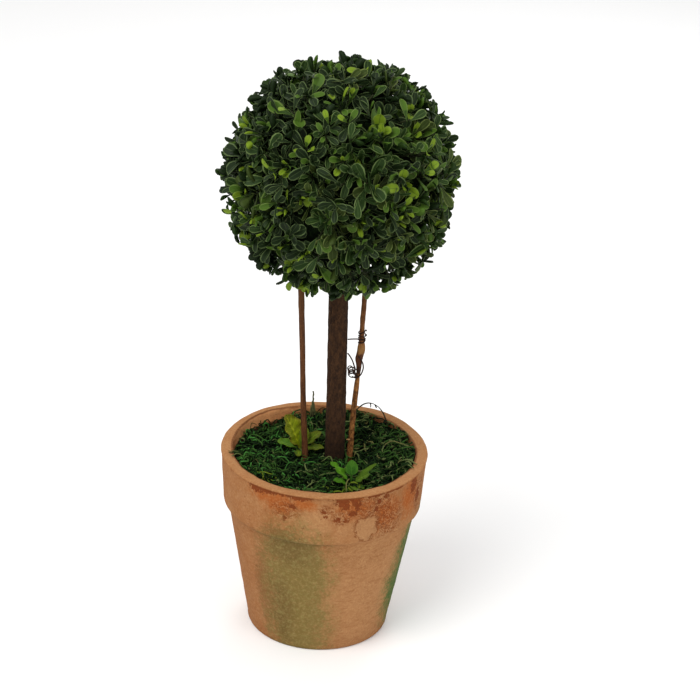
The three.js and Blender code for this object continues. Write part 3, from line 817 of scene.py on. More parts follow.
def raise_rings(rings):
    """Extrudes the selected edge ring through each further ring of an outline."""
    for (radius, height), (next_radius, next_height) in zip(rings, rings[1:]):
        bpy.ops.mesh.extrude_edges_move(TRANSFORM_OT_translate={"value": (0, 0, next_height - height)})
        scale = next_radius / radius
        bpy.ops.transform.resize(value=(scale, scale, 1), center_override=(0, 0, next_height))


def cut_long_walls(piece, longest):
    """Cuts the tall rings of faces so that no upright edge is longer than a given length."""
    while True:
        shape = bmesh.from_edit_mesh(piece.data)
        for edge in shape.edges:
            low, high = edge.verts
            upright = abs(low.co.z - high.co.z) > 0.7 * edge.calc_length()
            edge.select = upright and edge.calc_length() > longest
        tall = [edge for edge in shape.edges if edge.select]
        if not tall:
            return
        bmesh.update_edit_mesh(piece.data)
        bpy.ops.mesh.subdivide(number_cuts=1)
        bpy.ops.mesh.select_all(action="DESELECT")


# How the pot is uneven, each as a share, a turn from the X axis and a reach in degrees. The shares are in
# millimetres, but for the flaked ones.
LIFTED = ((1.3, 85, 62), (0.8, 45, 26), (1.4, 132, 42))
FLAKED = ((1, -62, 34), (0.6, -115, 20))
BULGED = ((1.1, 47, 26),)
CHIPPED = ((2.4, 138, 26),)
# How deep the lip and the rim's own unevenness reach, and how far the wall's outside is from its inside
LIP_DEPTH = 2.3 * MM
RIM_DEPTH = 9 * MM
WALL_THICKNESS = 3 * MM


def round_noise(turn, steps, level):
    """Noise that closes on itself round an upright axis: a larger circle has more steps."""
    return noise.noise(Vector((steps * math.cos(turn), steps * math.sin(turn), level)))


def wall_push(place, away, turn, band, near_rim, sizes):
    """How far in millimetres a place on the pot's wall stands outwards of the turned form."""
    outer = away > sizes.mouth_radius + WALL_THICKNESS
    push = 0.45 * round_noise(turn, 2.2, place.z * 18) + 0.22 * noise.noise(place * 130) - 0.3
    if outer:
        push += band * rise_at(turn, BULGED)
    if outer and band > 0.05 and place.z < sizes.height - LIP_DEPTH:
        flakes = noise.noise(place * 210) + 0.5 * noise.noise(place * 430)
        push -= 0.4 * limit(flakes * 5) * (0.25 + rise_at(turn, FLAKED))
    if away < sizes.mouth_radius + WALL_THICKNESS:
        push += near_rim * (0.55 * round_noise(turn, 9, 2) + rise_at(turn, CHIPPED))
    return push


def hand_thrown(piece, sizes):
    """Leaves the rim and the walls uneven: the rim is higher at the back, the band flaked under its lip."""
    for corner in piece.data.vertices:
        x, y, z = corner.co
        away = math.hypot(x, y)
        if away < sizes.cavity_foot_radius * 0.9 or z < FLAT_FOOT:
            continue
        turn = math.atan2(y, x)
        band = limit(1 - (sizes.height - z) / sizes.band_height)
        near_rim = limit((z - sizes.height + RIM_DEPTH) / (RIM_DEPTH - 1 * MM))
        lift = band * rise_at(turn, LIFTED) + 0.5 * near_rim * (round_noise(turn, 4, 5) - 0.5)
        scale = 1 + wall_push(Vector((x, y, z)), away, turn, band, near_rim, sizes) * MM / away
        corner.co = (x * scale, y * scale, z + lift * MM)


class TOPIARY_OT_pot(bpy.types.Operator):
    """Models the terracotta pot by raising rings from its foot, and weathers it"""
    bl_idname = "topiary.pot"
    bl_label = "Pot"

    def execute(self, context):
        sizes = context.scene.topiary_pot
        rings = pot_rings(sizes)
        deselect()
        bpy.ops.mesh.primitive_circle_add(vertices=ROUND_STEPS, radius=rings[0][0], fill_type="NGON")
        piece = context.object
        piece.name = "weathered_pot"
        bpy.ops.object.mode_set(mode="EDIT")
        bpy.ops.mesh.select_all(action="SELECT")
        bpy.ops.mesh.flip_normals()
        bpy.ops.mesh.select_mode(type="EDGE")
        raise_rings(rings)
        bpy.ops.mesh.edge_face_add()
        bpy.ops.mesh.select_all(action="SELECT")
        bpy.ops.mesh.normals_make_consistent(inside=False)
        bpy.ops.mesh.select_all(action="DESELECT")
        cut_long_walls(piece, LONGEST_EDGE)
        bpy.ops.object.mode_set(mode="OBJECT")
        hand_thrown(piece, sizes)
        bpy.ops.object.shade_smooth_by_angle(angle=math.radians(50))
        piece.data.materials.append(terracotta(sizes))
        hand_in(piece, "terracotta", "pot")
        return {"FINISHED"}


# Filling

class TOPIARY_OT_fill(bpy.types.Operator):
    """Gives the plaster that the trunk is cast in its rough finish"""
    bl_idname = "topiary.fill"
    bl_label = "Plaster filling"

    def execute(self, context):
        tints = (0.2, 0.17, 0.13), (0.34, 0.3, 0.24)
        plaster = lumpy_material("plaster", 0.95, 0.2, (120, 0.3, 0.7), tints, 0.8 * MM)
        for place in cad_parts["pot_fill"].material_slots:
            place.material = plaster
        return {"FINISHED"}


# Trunk and stems

# Places on the middle lines of the trunk and the stems, in millimetres
TRUNK_PATH = [(9.2, 0, 60), (7.7, 0.4, 135), (6.7, -0.4, 200), (5.4, 0.3, 263), (4.6, 0, 324)]
LEFT_PATH = [(-12.6, 1.5, 84), (-14.3, 0, 136), (-17.5, 0.6, 185), (-19.3, -0.6, 224), (-21.9, 0, 271),
             (-23.4, 0.6, 311)]
RIGHT_PATH = [(18.4, 1.5, 90), (19.1, 0, 139), (20.9, 0.5, 186), (22.4, -0.5, 208), (23.3, 0.4, 230),
              (23.6, 0, 250), (24.1, 0.4, 265), (25.2, 0, 311)]


def limb_piece(name, path, radius_at, sides, cuts):
    """An upright limb: a cylinder cut into many rings, which are then moved onto the limb's curve."""
    low, high = path[0][2] * MM, path[-1][2] * MM
    deselect()
    bpy.ops.mesh.primitive_cylinder_add(
        vertices=sides, radius=1 * MM, depth=high - low, location=(0, 0, (low + high) / 2),
        end_fill_type="NGON")
    piece = bpy.context.object
    piece.name = name
    bpy.ops.object.transform_apply(location=True, rotation=True, scale=True)
    bpy.ops.object.mode_set(mode="EDIT")
    shape = bmesh.from_edit_mesh(piece.data)
    for edge in shape.edges:
        edge.select = abs(edge.verts[0].co.z - edge.verts[1].co.z) > 1 * MM
    bmesh.update_edit_mesh(piece.data)
    bpy.ops.mesh.subdivide(number_cuts=cuts)
    bpy.ops.object.mode_set(mode="OBJECT")
    places = np.array([corner.co for corner in piece.data.vertices])
    middle = smooth_between(np.array(path) * MM, places[:, 2])
    for corner, (x, y) in zip(piece.data.vertices, middle):
        turn = math.atan2(corner.co.y, corner.co.x)
        radius = radius_at((corner.co.z - low) / (high - low), turn, corner.co.z)
        corner.co = (x + radius * math.cos(turn), y + radius * math.sin(turn), corner.co.z)
    bpy.ops.object.shade_smooth_by_angle(angle=math.radians(60))
    return piece


def bark_relief(turn, z, across, along, seed):
    """Ridges of bark, drawn out along the limb: about -1 to 1."""
    place = Vector((across * math.cos(turn), across * math.sin(turn), z / MM * along + seed))
    return noise.noise(place) + 0.5 * noise.noise(place * 2.3)


class TOPIARY_OT_trunk(bpy.types.Operator):
    """Models the trunk with its flaky bark"""
    bl_idname = "topiary.trunk"
    bl_label = "Trunk"

    def execute(self, context):
        sizes = context.scene.topiary_limbs

        def radius_at(along, turn, z):
            flutes = 1 + 0.05 * (1 - along) ** 2 + 0.02 * math.sin(3 * turn + 5 * along)
            rough = 0.26 * bark_relief(turn, z, 3.2, 0.12, 0) + 0.16 * round_noise(turn, 4, z * 600)
            return sizes.trunk_radius * flutes + rough * MM

        piece = limb_piece("bark_trunk", TRUNK_PATH, radius_at, 72, 220)
        piece.data.materials.append(trunk_bark(sizes))
        hand_in(piece, "dark_bark", "trunk")
        return {"FINISHED"}


class TOPIARY_OT_stems(bpy.types.Operator):
    """Models the two thin vine stems, the right one with its healed knot"""
    bl_idname = "topiary.stems"
    bl_label = "Vine stems"

    def execute(self, context):
        sizes = context.scene.topiary_limbs

        def left_at(along, turn, z):
            oval = 0.06 * math.sin(2 * turn + 9 * along)
            swell = 1 - 0.08 * along + oval + 0.07 * noise.noise(Vector((0, 3, z * 90)))
            return sizes.left_radius * swell + 0.1 * MM * bark_relief(turn, z, 1.6, 0.12, 40)

        def right_at(along, turn, z):
            """The right stem's radius, with its healed knot and the bulge under it."""
            over_knot = (z - sizes.knot_height) / MM
            oval = 0.07 * math.sin(2 * turn + 7 * along)
            swell = 1 + oval + 0.14 * noise.noise(Vector((0, 8, z * 150)))
            lump = 0.85 + 0.6 * math.cos(turn) + 0.4 * noise.noise(Vector((turn, 0, z * 200)))
            second_lump = 0.8 - 0.6 * math.cos(turn) + 0.4 * noise.noise(Vector((turn, 4, z * 240)))
            knot = 1.1 * lump * hump(over_knot, 5.5, 4.8) + second_lump * hump(over_knot, -2.5, 5)
            knot -= 0.45 * hump(over_knot, -14, 7)
            return sizes.right_radius * swell + (knot + 0.18 * bark_relief(turn, z, 1.6, 0.16, 80)) * MM

        left = limb_piece("vine_stem_left", LEFT_PATH, left_at, 20, 180)
        left.data.materials.append(left_bark(sizes))
        hand_in(left, "red_bark", "left_stem")
        right = limb_piece("vine_stem_right", RIGHT_PATH, right_at, 24, 240)
        right.data.materials.append(vine_bark(sizes))
        hand_in(right, "tan_bark", "right_stem")
        return {"FINISHED"}


def coil(centre, radius, rise, start, turns, steps, drift=0.0):
    """Places round an upright coil beside the stem that faces the front, in millimetres."""
    places = []
    for i in range(steps):
        share = i / (steps - 1)
        turn = start + turns * 2 * math.pi * share
        size = radius * (1 - 0.25 * share)
        x = centre[0] + size * math.cos(turn) + drift * share
        y = centre[1] + 1.1 * math.sin(turn * 0.7)
        places.append((x, y, centre[2] + size * math.sin(turn) + rise * share))
    return places


def winding(middle, count):
    """Places of a tendril that winds round the right stem, in millimetres."""
    places = []
    for i in range(count):
        turn = -2.4 + i * 0.66
        rise = -3.4 + i * 0.34 + 0.9 * math.sin(i * 0.9)
        places.append((23.6 + 2.75 * math.cos(turn), 2.75 * math.sin(turn), middle + rise))
    return places


def above(level, places):
    """Places whose heights are counted from a level."""
    return [(x, y, level + z) for x, y, z in places]


def curve_piece(name, paths, material):
    """Thin round runners along smooth curves: each path is a list of places in mm with a radius for each."""
    deselect()
    bpy.ops.curve.primitive_bezier_curve_add()
    piece = bpy.context.object
    piece.name = name
    curve = piece.data
    curve.splines.clear()
    curve.bevel_depth = 1.0
    curve.bevel_resolution = 2
    curve.resolution_u = 6
    curve.use_fill_caps = True
    for path in paths:
        spline = curve.splines.new("NURBS")
        spline.points.add(len(path) - 1)
        for point, (x, y, z, radius) in zip(spline.points, path):
            point.co = (x * MM, y * MM, z * MM, 1)
            point.radius = radius
        spline.use_endpoint_u = True
        spline.order_u = 4
    bpy.ops.object.convert(target="MESH")
    piece = bpy.context.object
    piece.data.materials.clear()
    piece.data.materials.append(material)
    return piece


def tendril_paths(sizes):
    """The vine's tendrils: one wound round the stem and reaching for the trunk, others curled under the knot.

    They come with a radius for each place. The last is the pale cut stub."""
    knot = sizes.knot_height / MM
    wind = knot + 16
    wound = above(wind, [(20.8, -1.2, -1.8)]) + winding(wind, 24)
    wound += above(wind, [(26.4, -1.4, 4), (26.9, -1.2, 5)])
    hook = above(wind, [(25.9, -1.5, 1), (27.1, -0.8, 2), (27.3, -0.2, 0.8), (26.4, 0.2, -0.2)])
    bridge = above(wind, [
        (13.4, -1.9, -2.6), (15.6, -1.9, -2.2), (17.9, -2, -2.1), (20.4, -2.4, -1.6),
        (22.6, -3, -1.7), (24.8, -2.6, -2.4),
    ])
    band = above(wind, [
        (20.9, -1.8, -4.5), (23.4, -2.8, -5.2), (26.1, -1.6, -4.0), (26.2, 1.2, -2.5),
        (23.6, 2.8, -1.6), (21, 1.2, -2.2),
    ])
    curl = above(knot, [(13.9, -3.4, 3), (15.4, -3.4, 1.2), (17, -3.2, -1.6), (18.2, -3, -4.4)])
    curl += coil((17.2, -2.9, knot - 9.8), 2.9, -2.4, 0.9, -2.1, 20, 0.6)
    curl += above(knot, [(19.8, -2.8, -15.4), (21.6, -2.6, -16.4)])
    loop = above(knot, [
        (21.8, -3.2, 0.5), (24.3, -2.8, -2.4), (25.9, -2.3, -6.4), (25.8, -1.9, -10.2),
        (24.7, -2.2, -13.6), (22.8, -2.9, -16.4), (20.2, -2.8, -17.2), (17.8, -2.9, -15.8),
    ])
    tangle = [
        coil((17.8, -3.6, knot - 13.4), 3.2, 0.2, 2.4, 1.2, 14, 0.4),
        coil((16, -3.1, knot - 9.6), 2.3, -0.4, 0.2, 1.1, 12, 0.8),
        coil((20.9, -3.6, knot - 10.6), 2.7, -1.6, 1.0, -1.2, 12, -0.6),
    ]
    stub = [(19.6, -0.4, 152.2), (17.6, -2.2, 152.9), (16.4, -3.4, 153.6)]
    groups = ((0.8, (wound, hook)), (1.05, (bridge, band, curl, loop)), (0.85, tangle))
    thin = [[(*place, sizes.tendril_radius * share) for place in path]
            for share, group in groups for path in group]
    return thin, [[(*place, 0.55 * MM) for place in stub]]


class TOPIARY_OT_tendrils(bpy.types.Operator):
    """Models the dark tendrils on the right stem and its pale cut stub"""
    bl_idname = "topiary.tendrils"
    bl_label = "Tendrils"

    def execute(self, context):
        thin, stub = tendril_paths(context.scene.topiary_limbs)
        dark = twig_bark("tendril_bark", (0.035, 0.015, 0.01), (0.012, 0.007, 0.006), 0.6)
        hand_in(curve_piece("tendrils", thin, dark), "dry_twig")
        pale = twig_bark("stub_bark", (0.42, 0.25, 0.1), (0.2, 0.09, 0.03))
        hand_in(curve_piece("cut_stub", stub, pale), "tan_bark")
        return {"FINISHED"}


# Moss

MOSS_TINTS = {
    "shade": (0.004, 0.01, 0.003),
    "dark": (0.012, 0.03, 0.007),
    "green": (0.032, 0.078, 0.014),
    "bright": (0.048, 0.165, 0.03),
    "olive": (0.1, 0.13, 0.042),
    "straw": (0.14, 0.135, 0.045),
    "golden": (0.105, 0.15, 0.012),
}
# The mat's hollows in millimetres, each as a depth, a place and a spread. A heap has a depth below zero.
HOLLOWS = (
    (4.5, -37, 51, 150), (1.8, -55, 25, 500), (1.5, 50, -30, 260), (3, -15, -6, 70), (3.2, 18.5, -6, 70),
    (-2.6, 50, 42, 900), (-1.6, 5, 64, 500),
)
# Limits in millimetres: the strands' height, the cavity's, and the mat's, the tufts' and the strands' reach
MOSS_TOP = 146.5
CAVITY_TOP = 143
MOSS_RADIUS = 68.1
TUFT_REACH = 66.5
STRAND_REACH = 67.2
# How many strands a tuft has, how many places a strand, and how many rings the mat
STRANDS_PER_TUFT = 15
STRAND_PLACES = 8
MAT_RINGS = 24
# Where strands lie out over the rim: a turn from the X axis in degrees, and how many
OVERHANGING = ((-163.5, 6), (-16, 7))


def moss_height(level, x, y):
    """The mat's height, dished where the stems stand, by the source's rule. Places are in millimetres."""
    edge = (x * x + y * y) / MOSS_RADIUS**2
    rise = edge * (4.4 + 2 * (x + y) / (1.4 * MOSS_RADIUS))
    lumps = 0.8 * np.sin(0.13 * x + 0.8) * np.cos(0.11 * y - 0.4) + 0.7 * np.sin(0.31 * x - 0.22 * y + 2)
    return level / MM + rise + lumps


def hollows(x, y):
    """How far the mat sinks, in millimetres, at the wall and before the stems, less its heaps."""
    return sum(depth * np.exp(-((x - middle_x) ** 2 + (y - middle_y) ** 2) / spread)
               for depth, middle_x, middle_y, spread in HOLLOWS)


def cavity_radius(pot, z):
    """Inside radius of the pot in millimetres at a height in millimetres."""
    share = (z - pot.floor / MM) / ((pot.height - pot.floor) / MM)
    return (pot.cavity_foot_radius + (pot.mouth_radius - pot.cavity_foot_radius) * share) / MM


def strand_tint(x, y, shade, draws):
    """Brighter green on the left, olive and straw on the right, golden at two places of the front edge."""
    left = np.clip(0.5 - x / 90, 0, 1)
    right = 1 - left
    low = 1 - shade
    fringe = np.exp(-((x - 12) ** 2) / 70 - (y + 56.5) ** 2 / 10)
    fringe += np.exp(-((x + 39.5) ** 2 + (y + 42.5) ** 2) / 14)
    weights = {
        "shade": 0.15 + 0.9 * low,
        "dark": 0.4 + 0.3 * low,
        "green": 0.12 + 0.55 * shade,
        "bright": 0.02 + 0.5 * left**2 * shade**1.5,
        "olive": 0.04 + 0.6 * right * shade**1.3,
        "straw": 0.005 + 0.035 * right * shade,
        "golden": 1.8 * fringe,
    }
    shares = np.stack([weights[name] for name in MOSS_TINTS], -1)
    shares /= shares.sum(-1, keepdims=True)
    chance = draws.random(len(x))[:, None]
    return np.minimum((np.cumsum(shares, -1) < chance).sum(-1), len(MOSS_TINTS) - 1)


def pushed_off(x, y, lift, layer):
    """Strands moved off what stands in the moss, and heaped up by a few millimetres round some of it."""
    standing = (((7.7, 0.2), 8.6, 1.6), ((-14.3, 0), 3.4, 0), ((19.1, 0), 3.2, 0),
                (YELLOW_PLANT, 2.4, 2.6), (GREEN_PLANT, 2.4, 2.6))
    for (middle_x, middle_y), reach, heap in standing:
        off = np.hypot(x - middle_x, y - middle_y) + 1e-6
        push = np.maximum(reach / off, 1)
        x = middle_x + (x - middle_x) * push
        y = middle_y + (y - middle_y) * push
        lift = lift + heap * layer * np.exp(-(((off - reach) / 4.5) ** 2))
    return x, y, lift


def held_in(x, y, radius):
    """Places moved inwards where they are further than a radius from the middle."""
    off = np.hypot(x, y) + 1e-6
    inward = np.minimum(radius / off, 1)
    return x * inward, y * inward


def moss_strands(moss, pot):
    """Paths of curled strands in tufts on the mat, in millimetres, each with its tint."""
    draws = np.random.default_rng(moss.seed)
    count = moss.strands
    tufts = count // STRANDS_PER_TUFT
    tuft_away = TUFT_REACH * np.sqrt((np.arange(tufts) + 0.5) / tufts)
    tuft_turn = np.arange(tufts) * GOLDEN_TURN + draws.normal(0, 0.15, tufts)
    tuft_x = tuft_away * np.cos(tuft_turn) + draws.normal(0, 1.5, tufts)
    tuft_y = tuft_away * np.sin(tuft_turn) + draws.normal(0, 1.5, tufts)
    tuft_lift = draws.normal(0, 1.5, tufts)
    tuft_heading = draws.random(tufts) * 2 * math.pi
    tuft_shade = draws.random(tufts)
    own = draws.integers(0, tufts, count)
    heading = (tuft_heading[own] + draws.normal(0, 0.9, count))[:, None]
    root_x = (tuft_x[own] + draws.normal(0, 2.4, count))[:, None]
    root_y = (tuft_y[own] + draws.normal(0, 2.4, count))[:, None]
    length = draws.gamma(4.0, 2.2, count).clip(3, 22)[:, None]
    bend = draws.normal(0, 1.9, count)[:, None]
    wave = draws.uniform(0.1, 0.7, count)[:, None]
    phase = (draws.random(count) * 2 * math.pi)[:, None]
    along = np.linspace(0, 1, STRAND_PLACES)[None]
    direction = heading + bend * along + wave * np.sin(7 * along + phase)
    step = length / (STRAND_PLACES - 1)
    x = root_x + np.cumsum(np.cos(direction) * step, 1) - 0.3 * length * np.cos(heading)
    y = root_y + np.cumsum(np.sin(direction) * step, 1) - 0.3 * length * np.sin(heading)
    arch = draws.gamma(2.0, 0.8, count)[:, None]
    layer = draws.uniform(0, 1, count)
    lift = -1.6 + 2.6 * layer[:, None] + tuft_lift[own][:, None] + arch * np.sin(math.pi * along)
    lift += 0.4 * np.sin(9 * along + 2 * phase)
    x, y, lift = pushed_off(x, y, lift, layer[:, None])
    x, y = held_in(x, y, STRAND_REACH)
    z = np.minimum(moss_height(moss.level, x, y) - hollows(x, y) + lift, MOSS_TOP)
    inside = cavity_radius(pot, np.minimum(z, CAVITY_TOP)) - 0.7
    paths = np.stack([*held_in(x, y, inside), z], -1)
    shade = np.clip(0.2 + 0.55 * layer + 0.5 * (tuft_shade[own] - 0.5) + 0.12 * tuft_lift[own], 0, 1)
    half = STRAND_PLACES // 2
    return paths, strand_tint(x[:, half], y[:, half], shade, draws)


def overhanging_tufts(pot):
    """Short strands that lie out over the rim at the left and at the right, in millimetres."""
    draws = np.random.default_rng(5)
    rim = pot.height / MM
    along = np.linspace(0, 1, STRAND_PLACES)
    paths = []
    for turn_deg, count in OVERHANGING:
        for _ in range(count):
            start = draws.uniform(58, 63)
            reach = draws.uniform(67.5, 72.5)
            spread = math.radians(turn_deg) + draws.normal(0, 0.06)
            angle = spread + draws.normal(0, 0.07) * along
            away = start + (reach - start) * along
            z = rim - 3 + 6.2 * np.sin(math.pi * np.minimum(along * 0.9 + 0.06, 1)) * 0.62 + 2.0 * along
            z = np.where(away > 66, np.maximum(z, rim + 0.7), z)
            paths.append(np.stack([away * np.cos(angle), away * np.sin(angle), z], -1))
    return np.array(paths)


class TOPIARY_OT_moss(bpy.types.Operator):
    """Models the moss: a lumpy mat under thousands of curled strands"""
    bl_idname = "topiary.moss"
    bl_label = "Moss"

    def execute(self, context):
        moss, pot = context.scene.topiary_moss, context.scene.topiary_pot
        hand_in(self.mat(moss, pot), "moss", "moss")
        paths, tints = moss_strands(moss, pot)
        tufts = overhanging_tufts(pot)
        names = list(MOSS_TINTS)
        dark, olive = names.index("dark"), names.index("olive")
        paths = np.concatenate([paths, tufts])
        tints = np.concatenate([tints, np.where(np.arange(len(tufts)) % 3, dark, olive)])
        taper = np.sin(np.linspace(0.35, math.pi - 0.35, STRAND_PLACES))[None] ** 0.5
        girth = np.random.default_rng(3).uniform(0.6, 1.5, len(paths))[:, None]
        radii = np.repeat(taper, len(paths), 0) * girth * moss.strand_radius
        corners, faces = tubes(paths * MM, radii, 3)
        materials = [plain_material("moss_" + name, tint, 0.95, 0.06) for name, tint in MOSS_TINTS.items()]
        picks = [np.repeat(tints, len(faces[0]) // len(paths)), np.tile(tints, 2)]
        piece = mesh_piece("moss_strands", corners, faces, materials, np.concatenate(picks))
        hand_in(piece, "moss")
        return {"FINISHED"}

    def mat(self, moss, pot):
        """The mat under the strands, near black as painted shade between them: a disc inset ring by ring,
        dished, roughened and fitted to the wall.
        """
        deselect()
        radius = (cavity_radius(pot, 134) - 0.9) * MM
        bpy.ops.mesh.primitive_cylinder_add(
            vertices=128, radius=radius, depth=10 * MM, location=(0, 0, 127 * MM))
        piece = bpy.context.object
        piece.name = "moss_shade_mat"
        bpy.ops.object.transform_apply(location=True, rotation=True, scale=True)
        bpy.ops.object.mode_set(mode="EDIT")
        shape = bmesh.from_edit_mesh(piece.data)
        for face in shape.faces:
            face.select = face.normal.z > 0.5
        bmesh.update_edit_mesh(piece.data)
        for _ in range(MAT_RINGS):
            bpy.ops.mesh.inset(thickness=radius / (MAT_RINGS + 2), depth=0)
        bpy.ops.object.mode_set(mode="OBJECT")
        for corner in piece.data.vertices:
            x, y, z = corner.co / MM
            if z < 131:
                continue
            away = math.hypot(x, y)
            edge = limit((away - 61) / 5)
            rough = 1.1 * noise.noise(Vector((x, y, 0)) * 0.35)
            height = float(moss_height(moss.level, x, y)) - float(hollows(x, y)) - 1.8 + rough - 0.6 * edge
            wider = max(0.0, cavity_radius(pot, height) - 0.9 - radius / MM)
            outward = 1 + edge * wider / away if away else 1
            corner.co = Vector((x * outward, y * outward, height)) * MM
        bpy.ops.object.shade_smooth_by_angle(angle=math.radians(60))
        # Near black: painted shade between the strands.
        tints = (0.0015, 0.003, 0.001), (0.008, 0.018, 0.004)
        piece.data.materials.append(lumpy_material("moss_shade_mat", 0.95, 0.05, (500, 0.35, 0.7), tints, 1.5 * MM))
        return piece


# Small plants

# Each plant's place, and its leaves: a turn and a lean in degrees, a length and a width in millimetres, the
# share that is leaf stalk, and how crinkled the blade is
YELLOW_PLANT = (-18.5, 9.5)
YELLOW_LEAVES = [
    (156, 18, 29, 24, 0.16, 0.55), (190, 58, 19, 13, 0.3, 0.3), (60, 22, 17, 10, 0.3, 0.5),
    (25, 46, 21, 12, 0.3, 0.5), (350, 70, 19, 10, 0.25, 0.6), (265, 80, 12, 8, 0.2, 0.4),
    (110, 60, 17, 9, 0.2, 0.5),
]
GREEN_PLANT = (20.5, -47.5)
GREEN_LEAVES = [
    (90, 8, 18.5, 9, 0.42, 0.3), (160, 38, 23, 7.5, 0.25, 1.5), (200, 58, 15, 8.5, 0.25, 0.7),
    (8, 47, 16, 10.5, 0.3, 0.6), (32, 50, 25, 4.6, 0.2, 0.5), (250, 78, 11, 7, 0.2, 0.6),
    (335, 80, 11, 6, 0.2, 0.6), (290, 72, 12, 6, 0.2, 0.6),
]
# The finishes of each plant's blades: a base, a rib, a margin and the margin's share
YELLOW_BLADES = {
    "yellow_leaf": ((0.2, 0.25, 0.004), (0.38, 0.42, 0.015), (0.1, 0.07, 0.008), 0.7),
    "lime_leaf": ((0.065, 0.165, 0.006), (0.14, 0.27, 0.012), (0.1, 0.17, 0.008), 0.5),
    "dull_leaf": ((0.09, 0.145, 0.005), (0.19, 0.26, 0.012), (0.1, 0.1, 0.01), 0.6),
}
GREEN_BLADES = {
    "round_leaf": ((0.024, 0.09, 0.007), (0.05, 0.15, 0.014), (0.05, 0.14, 0.01), 0.7),
    "green_leaf": ((0.065, 0.19, 0.006), (0.14, 0.3, 0.012), (0.035, 0.12, 0.005), 0.5),
    "green_leaf_low": ((0.05, 0.16, 0.006), (0.11, 0.26, 0.012), (0.035, 0.12, 0.005), 0.5),
    "olive_leaf": ((0.06, 0.12, 0.007), (0.12, 0.2, 0.015), (0.045, 0.085, 0.006), 0.6),
}
BLADE_THICKNESS = 0.45 * MM


def blade(length, width, petiole, crinkle, seed):
    """A flat grid shaped into a blade on its leaf stalk, along +Y and facing +Z, waved along its margin."""
    deselect()
    bpy.ops.mesh.primitive_grid_add(x_subdivisions=14, y_subdivisions=30, size=1, calc_uvs=True)
    piece = bpy.context.object
    for corner in piece.data.vertices:
        across, along = corner.co.x * 2, corner.co.y + 0.5
        share = (along - petiole) / (1 - petiole)
        outline = math.sin(math.pi * share**0.8) ** 0.55 if 0 < share < 1 else 0
        stalk = 0.1 if along < petiole + 0.25 else 0.03
        half = width / 2 * max(outline, stalk)
        wave = crinkle * width * 0.1 * across**2 * math.sin(19 * along + 2.5 * across + seed) * outline
        side = abs(across)
        pucker = crinkle * width * 0.035 * math.sin(38 * along - 6 * side) * (1 - side) * outline
        notch = 1 + crinkle * 0.045 * side * (math.sin(27 * along + seed) + math.sin(11 * along + 2 * seed))
        cup = 0.22 * half * across * across
        arch = 0.16 * length * along * along
        corner.co = (half * across * notch, length * along * (1 - 0.03 * along), cup + wave + pucker - arch)
    bpy.ops.object.modifier_add(type="SOLIDIFY")
    solidify = piece.modifiers["Solidify"]
    solidify.thickness = BLADE_THICKNESS
    solidify.offset = -1
    bpy.ops.object.modifier_apply(modifier="Solidify")
    return piece


def small_plant(name, place, leaves, finishes, stalk_material, level):
    """A rosette of crinkled blades on a short stalk. The finishes go one to a blade, the last to the rest."""
    materials = [blade_material(label, *tints) for label, tints in finishes.items()]
    ground = float(moss_height(level, *place))
    crown = Vector((place[0], place[1], ground + 1.6)) * MM
    blades = []
    for number, (round_deg, lean_deg, length, width, petiole, crinkle) in enumerate(leaves):
        turn, away = math.radians(round_deg), math.radians(lean_deg)
        outward = Vector((math.cos(turn), math.sin(turn), 0))
        along = outward * math.sin(away) + Vector((0, 0, math.cos(away)))
        facing = Vector((0, 0, math.sin(away))) - outward * math.cos(away)
        piece = blade(length * MM, width * MM, petiole, crinkle, number * 1.7)
        basis = Matrix((along.cross(facing), along, facing)).transposed().to_4x4()
        piece.data.transform(Matrix.Translation(crown) @ basis)
        piece.data.materials.append(materials[min(number, len(materials) - 1)])
        blades.append(piece)
    rings = ((-5, 1.3), (-2, 1.3), (1, 1.2), (2.6, 0.8))
    stalk = [[(place[0], place[1], ground + rise, radius * MM) for rise, radius in rings]]
    stem = curve_piece(name + "_stalk", stalk, stalk_material)
    deselect()
    for piece in blades:
        piece.select_set(True)
    bpy.context.view_layer.objects.active = blades[0]
    bpy.ops.object.join()
    rosette = bpy.context.object
    rosette.name = name
    bpy.ops.object.shade_smooth_by_angle(angle=math.radians(50))
    return rosette, stem


class TOPIARY_OT_plants(bpy.types.Operator):
    """Models the two small plants in the moss"""
    bl_idname = "topiary.plants"
    bl_label = "Small plants"

    def execute(self, context):
        level = context.scene.topiary_moss.level
        stalk = plain_material("stalk_green", (0.05, 0.1, 0.012), 0.6, 0.1)
        yellow = small_plant("yellow_rosette", YELLOW_PLANT, YELLOW_LEAVES, YELLOW_BLADES, stalk, level)
        hand_in(yellow[0], "yellow_leaf", "yellow_plant")
        hand_in(yellow[1], "yellow_leaf")
        green = small_plant("green_rosette", GREEN_PLANT, GREEN_LEAVES, GREEN_BLADES, stalk, level)
        hand_in(green[0], "green_leaf", "green_plant")
        hand_in(green[1], "green_leaf")
        return {"FINISHED"}


# Litter

def fallen_paths():
    """The fallen tendril's arch with a dry crumb and a knob on it: places in mm, each with a radius."""
    arch = [(20, 58, 131), (20.5, 58, 140), (22.3, 57.5, 147.5), (25.3, 56.5, 151.6), (29, 55, 155.6),
            (33.4, 53, 157.6), (37.4, 51.5, 157), (41.3, 50, 154.8), (44.5, 48.5, 150.5), (46.4, 47.5, 146),
            (47, 46.3, 140), (46.5, 45, 131)]
    fallen = [(*place, (0.42 + 0.16 * math.sin(5 * i)) * MM) for i, place in enumerate(arch)]
    crumb = [(33.5, 52.8, 157.4, 0.4 * MM), (34.5, 52, 155.6, 0.5 * MM), (34, 51.6, 154.2, 0.35 * MM)]
    knob = [(37.4, 51.5, 156.8, 0.5 * MM), (38, 51, 155.2, 0.6 * MM), (38.8, 50.6, 154.4, 0.4 * MM)]
    return [fallen, crumb, knob]


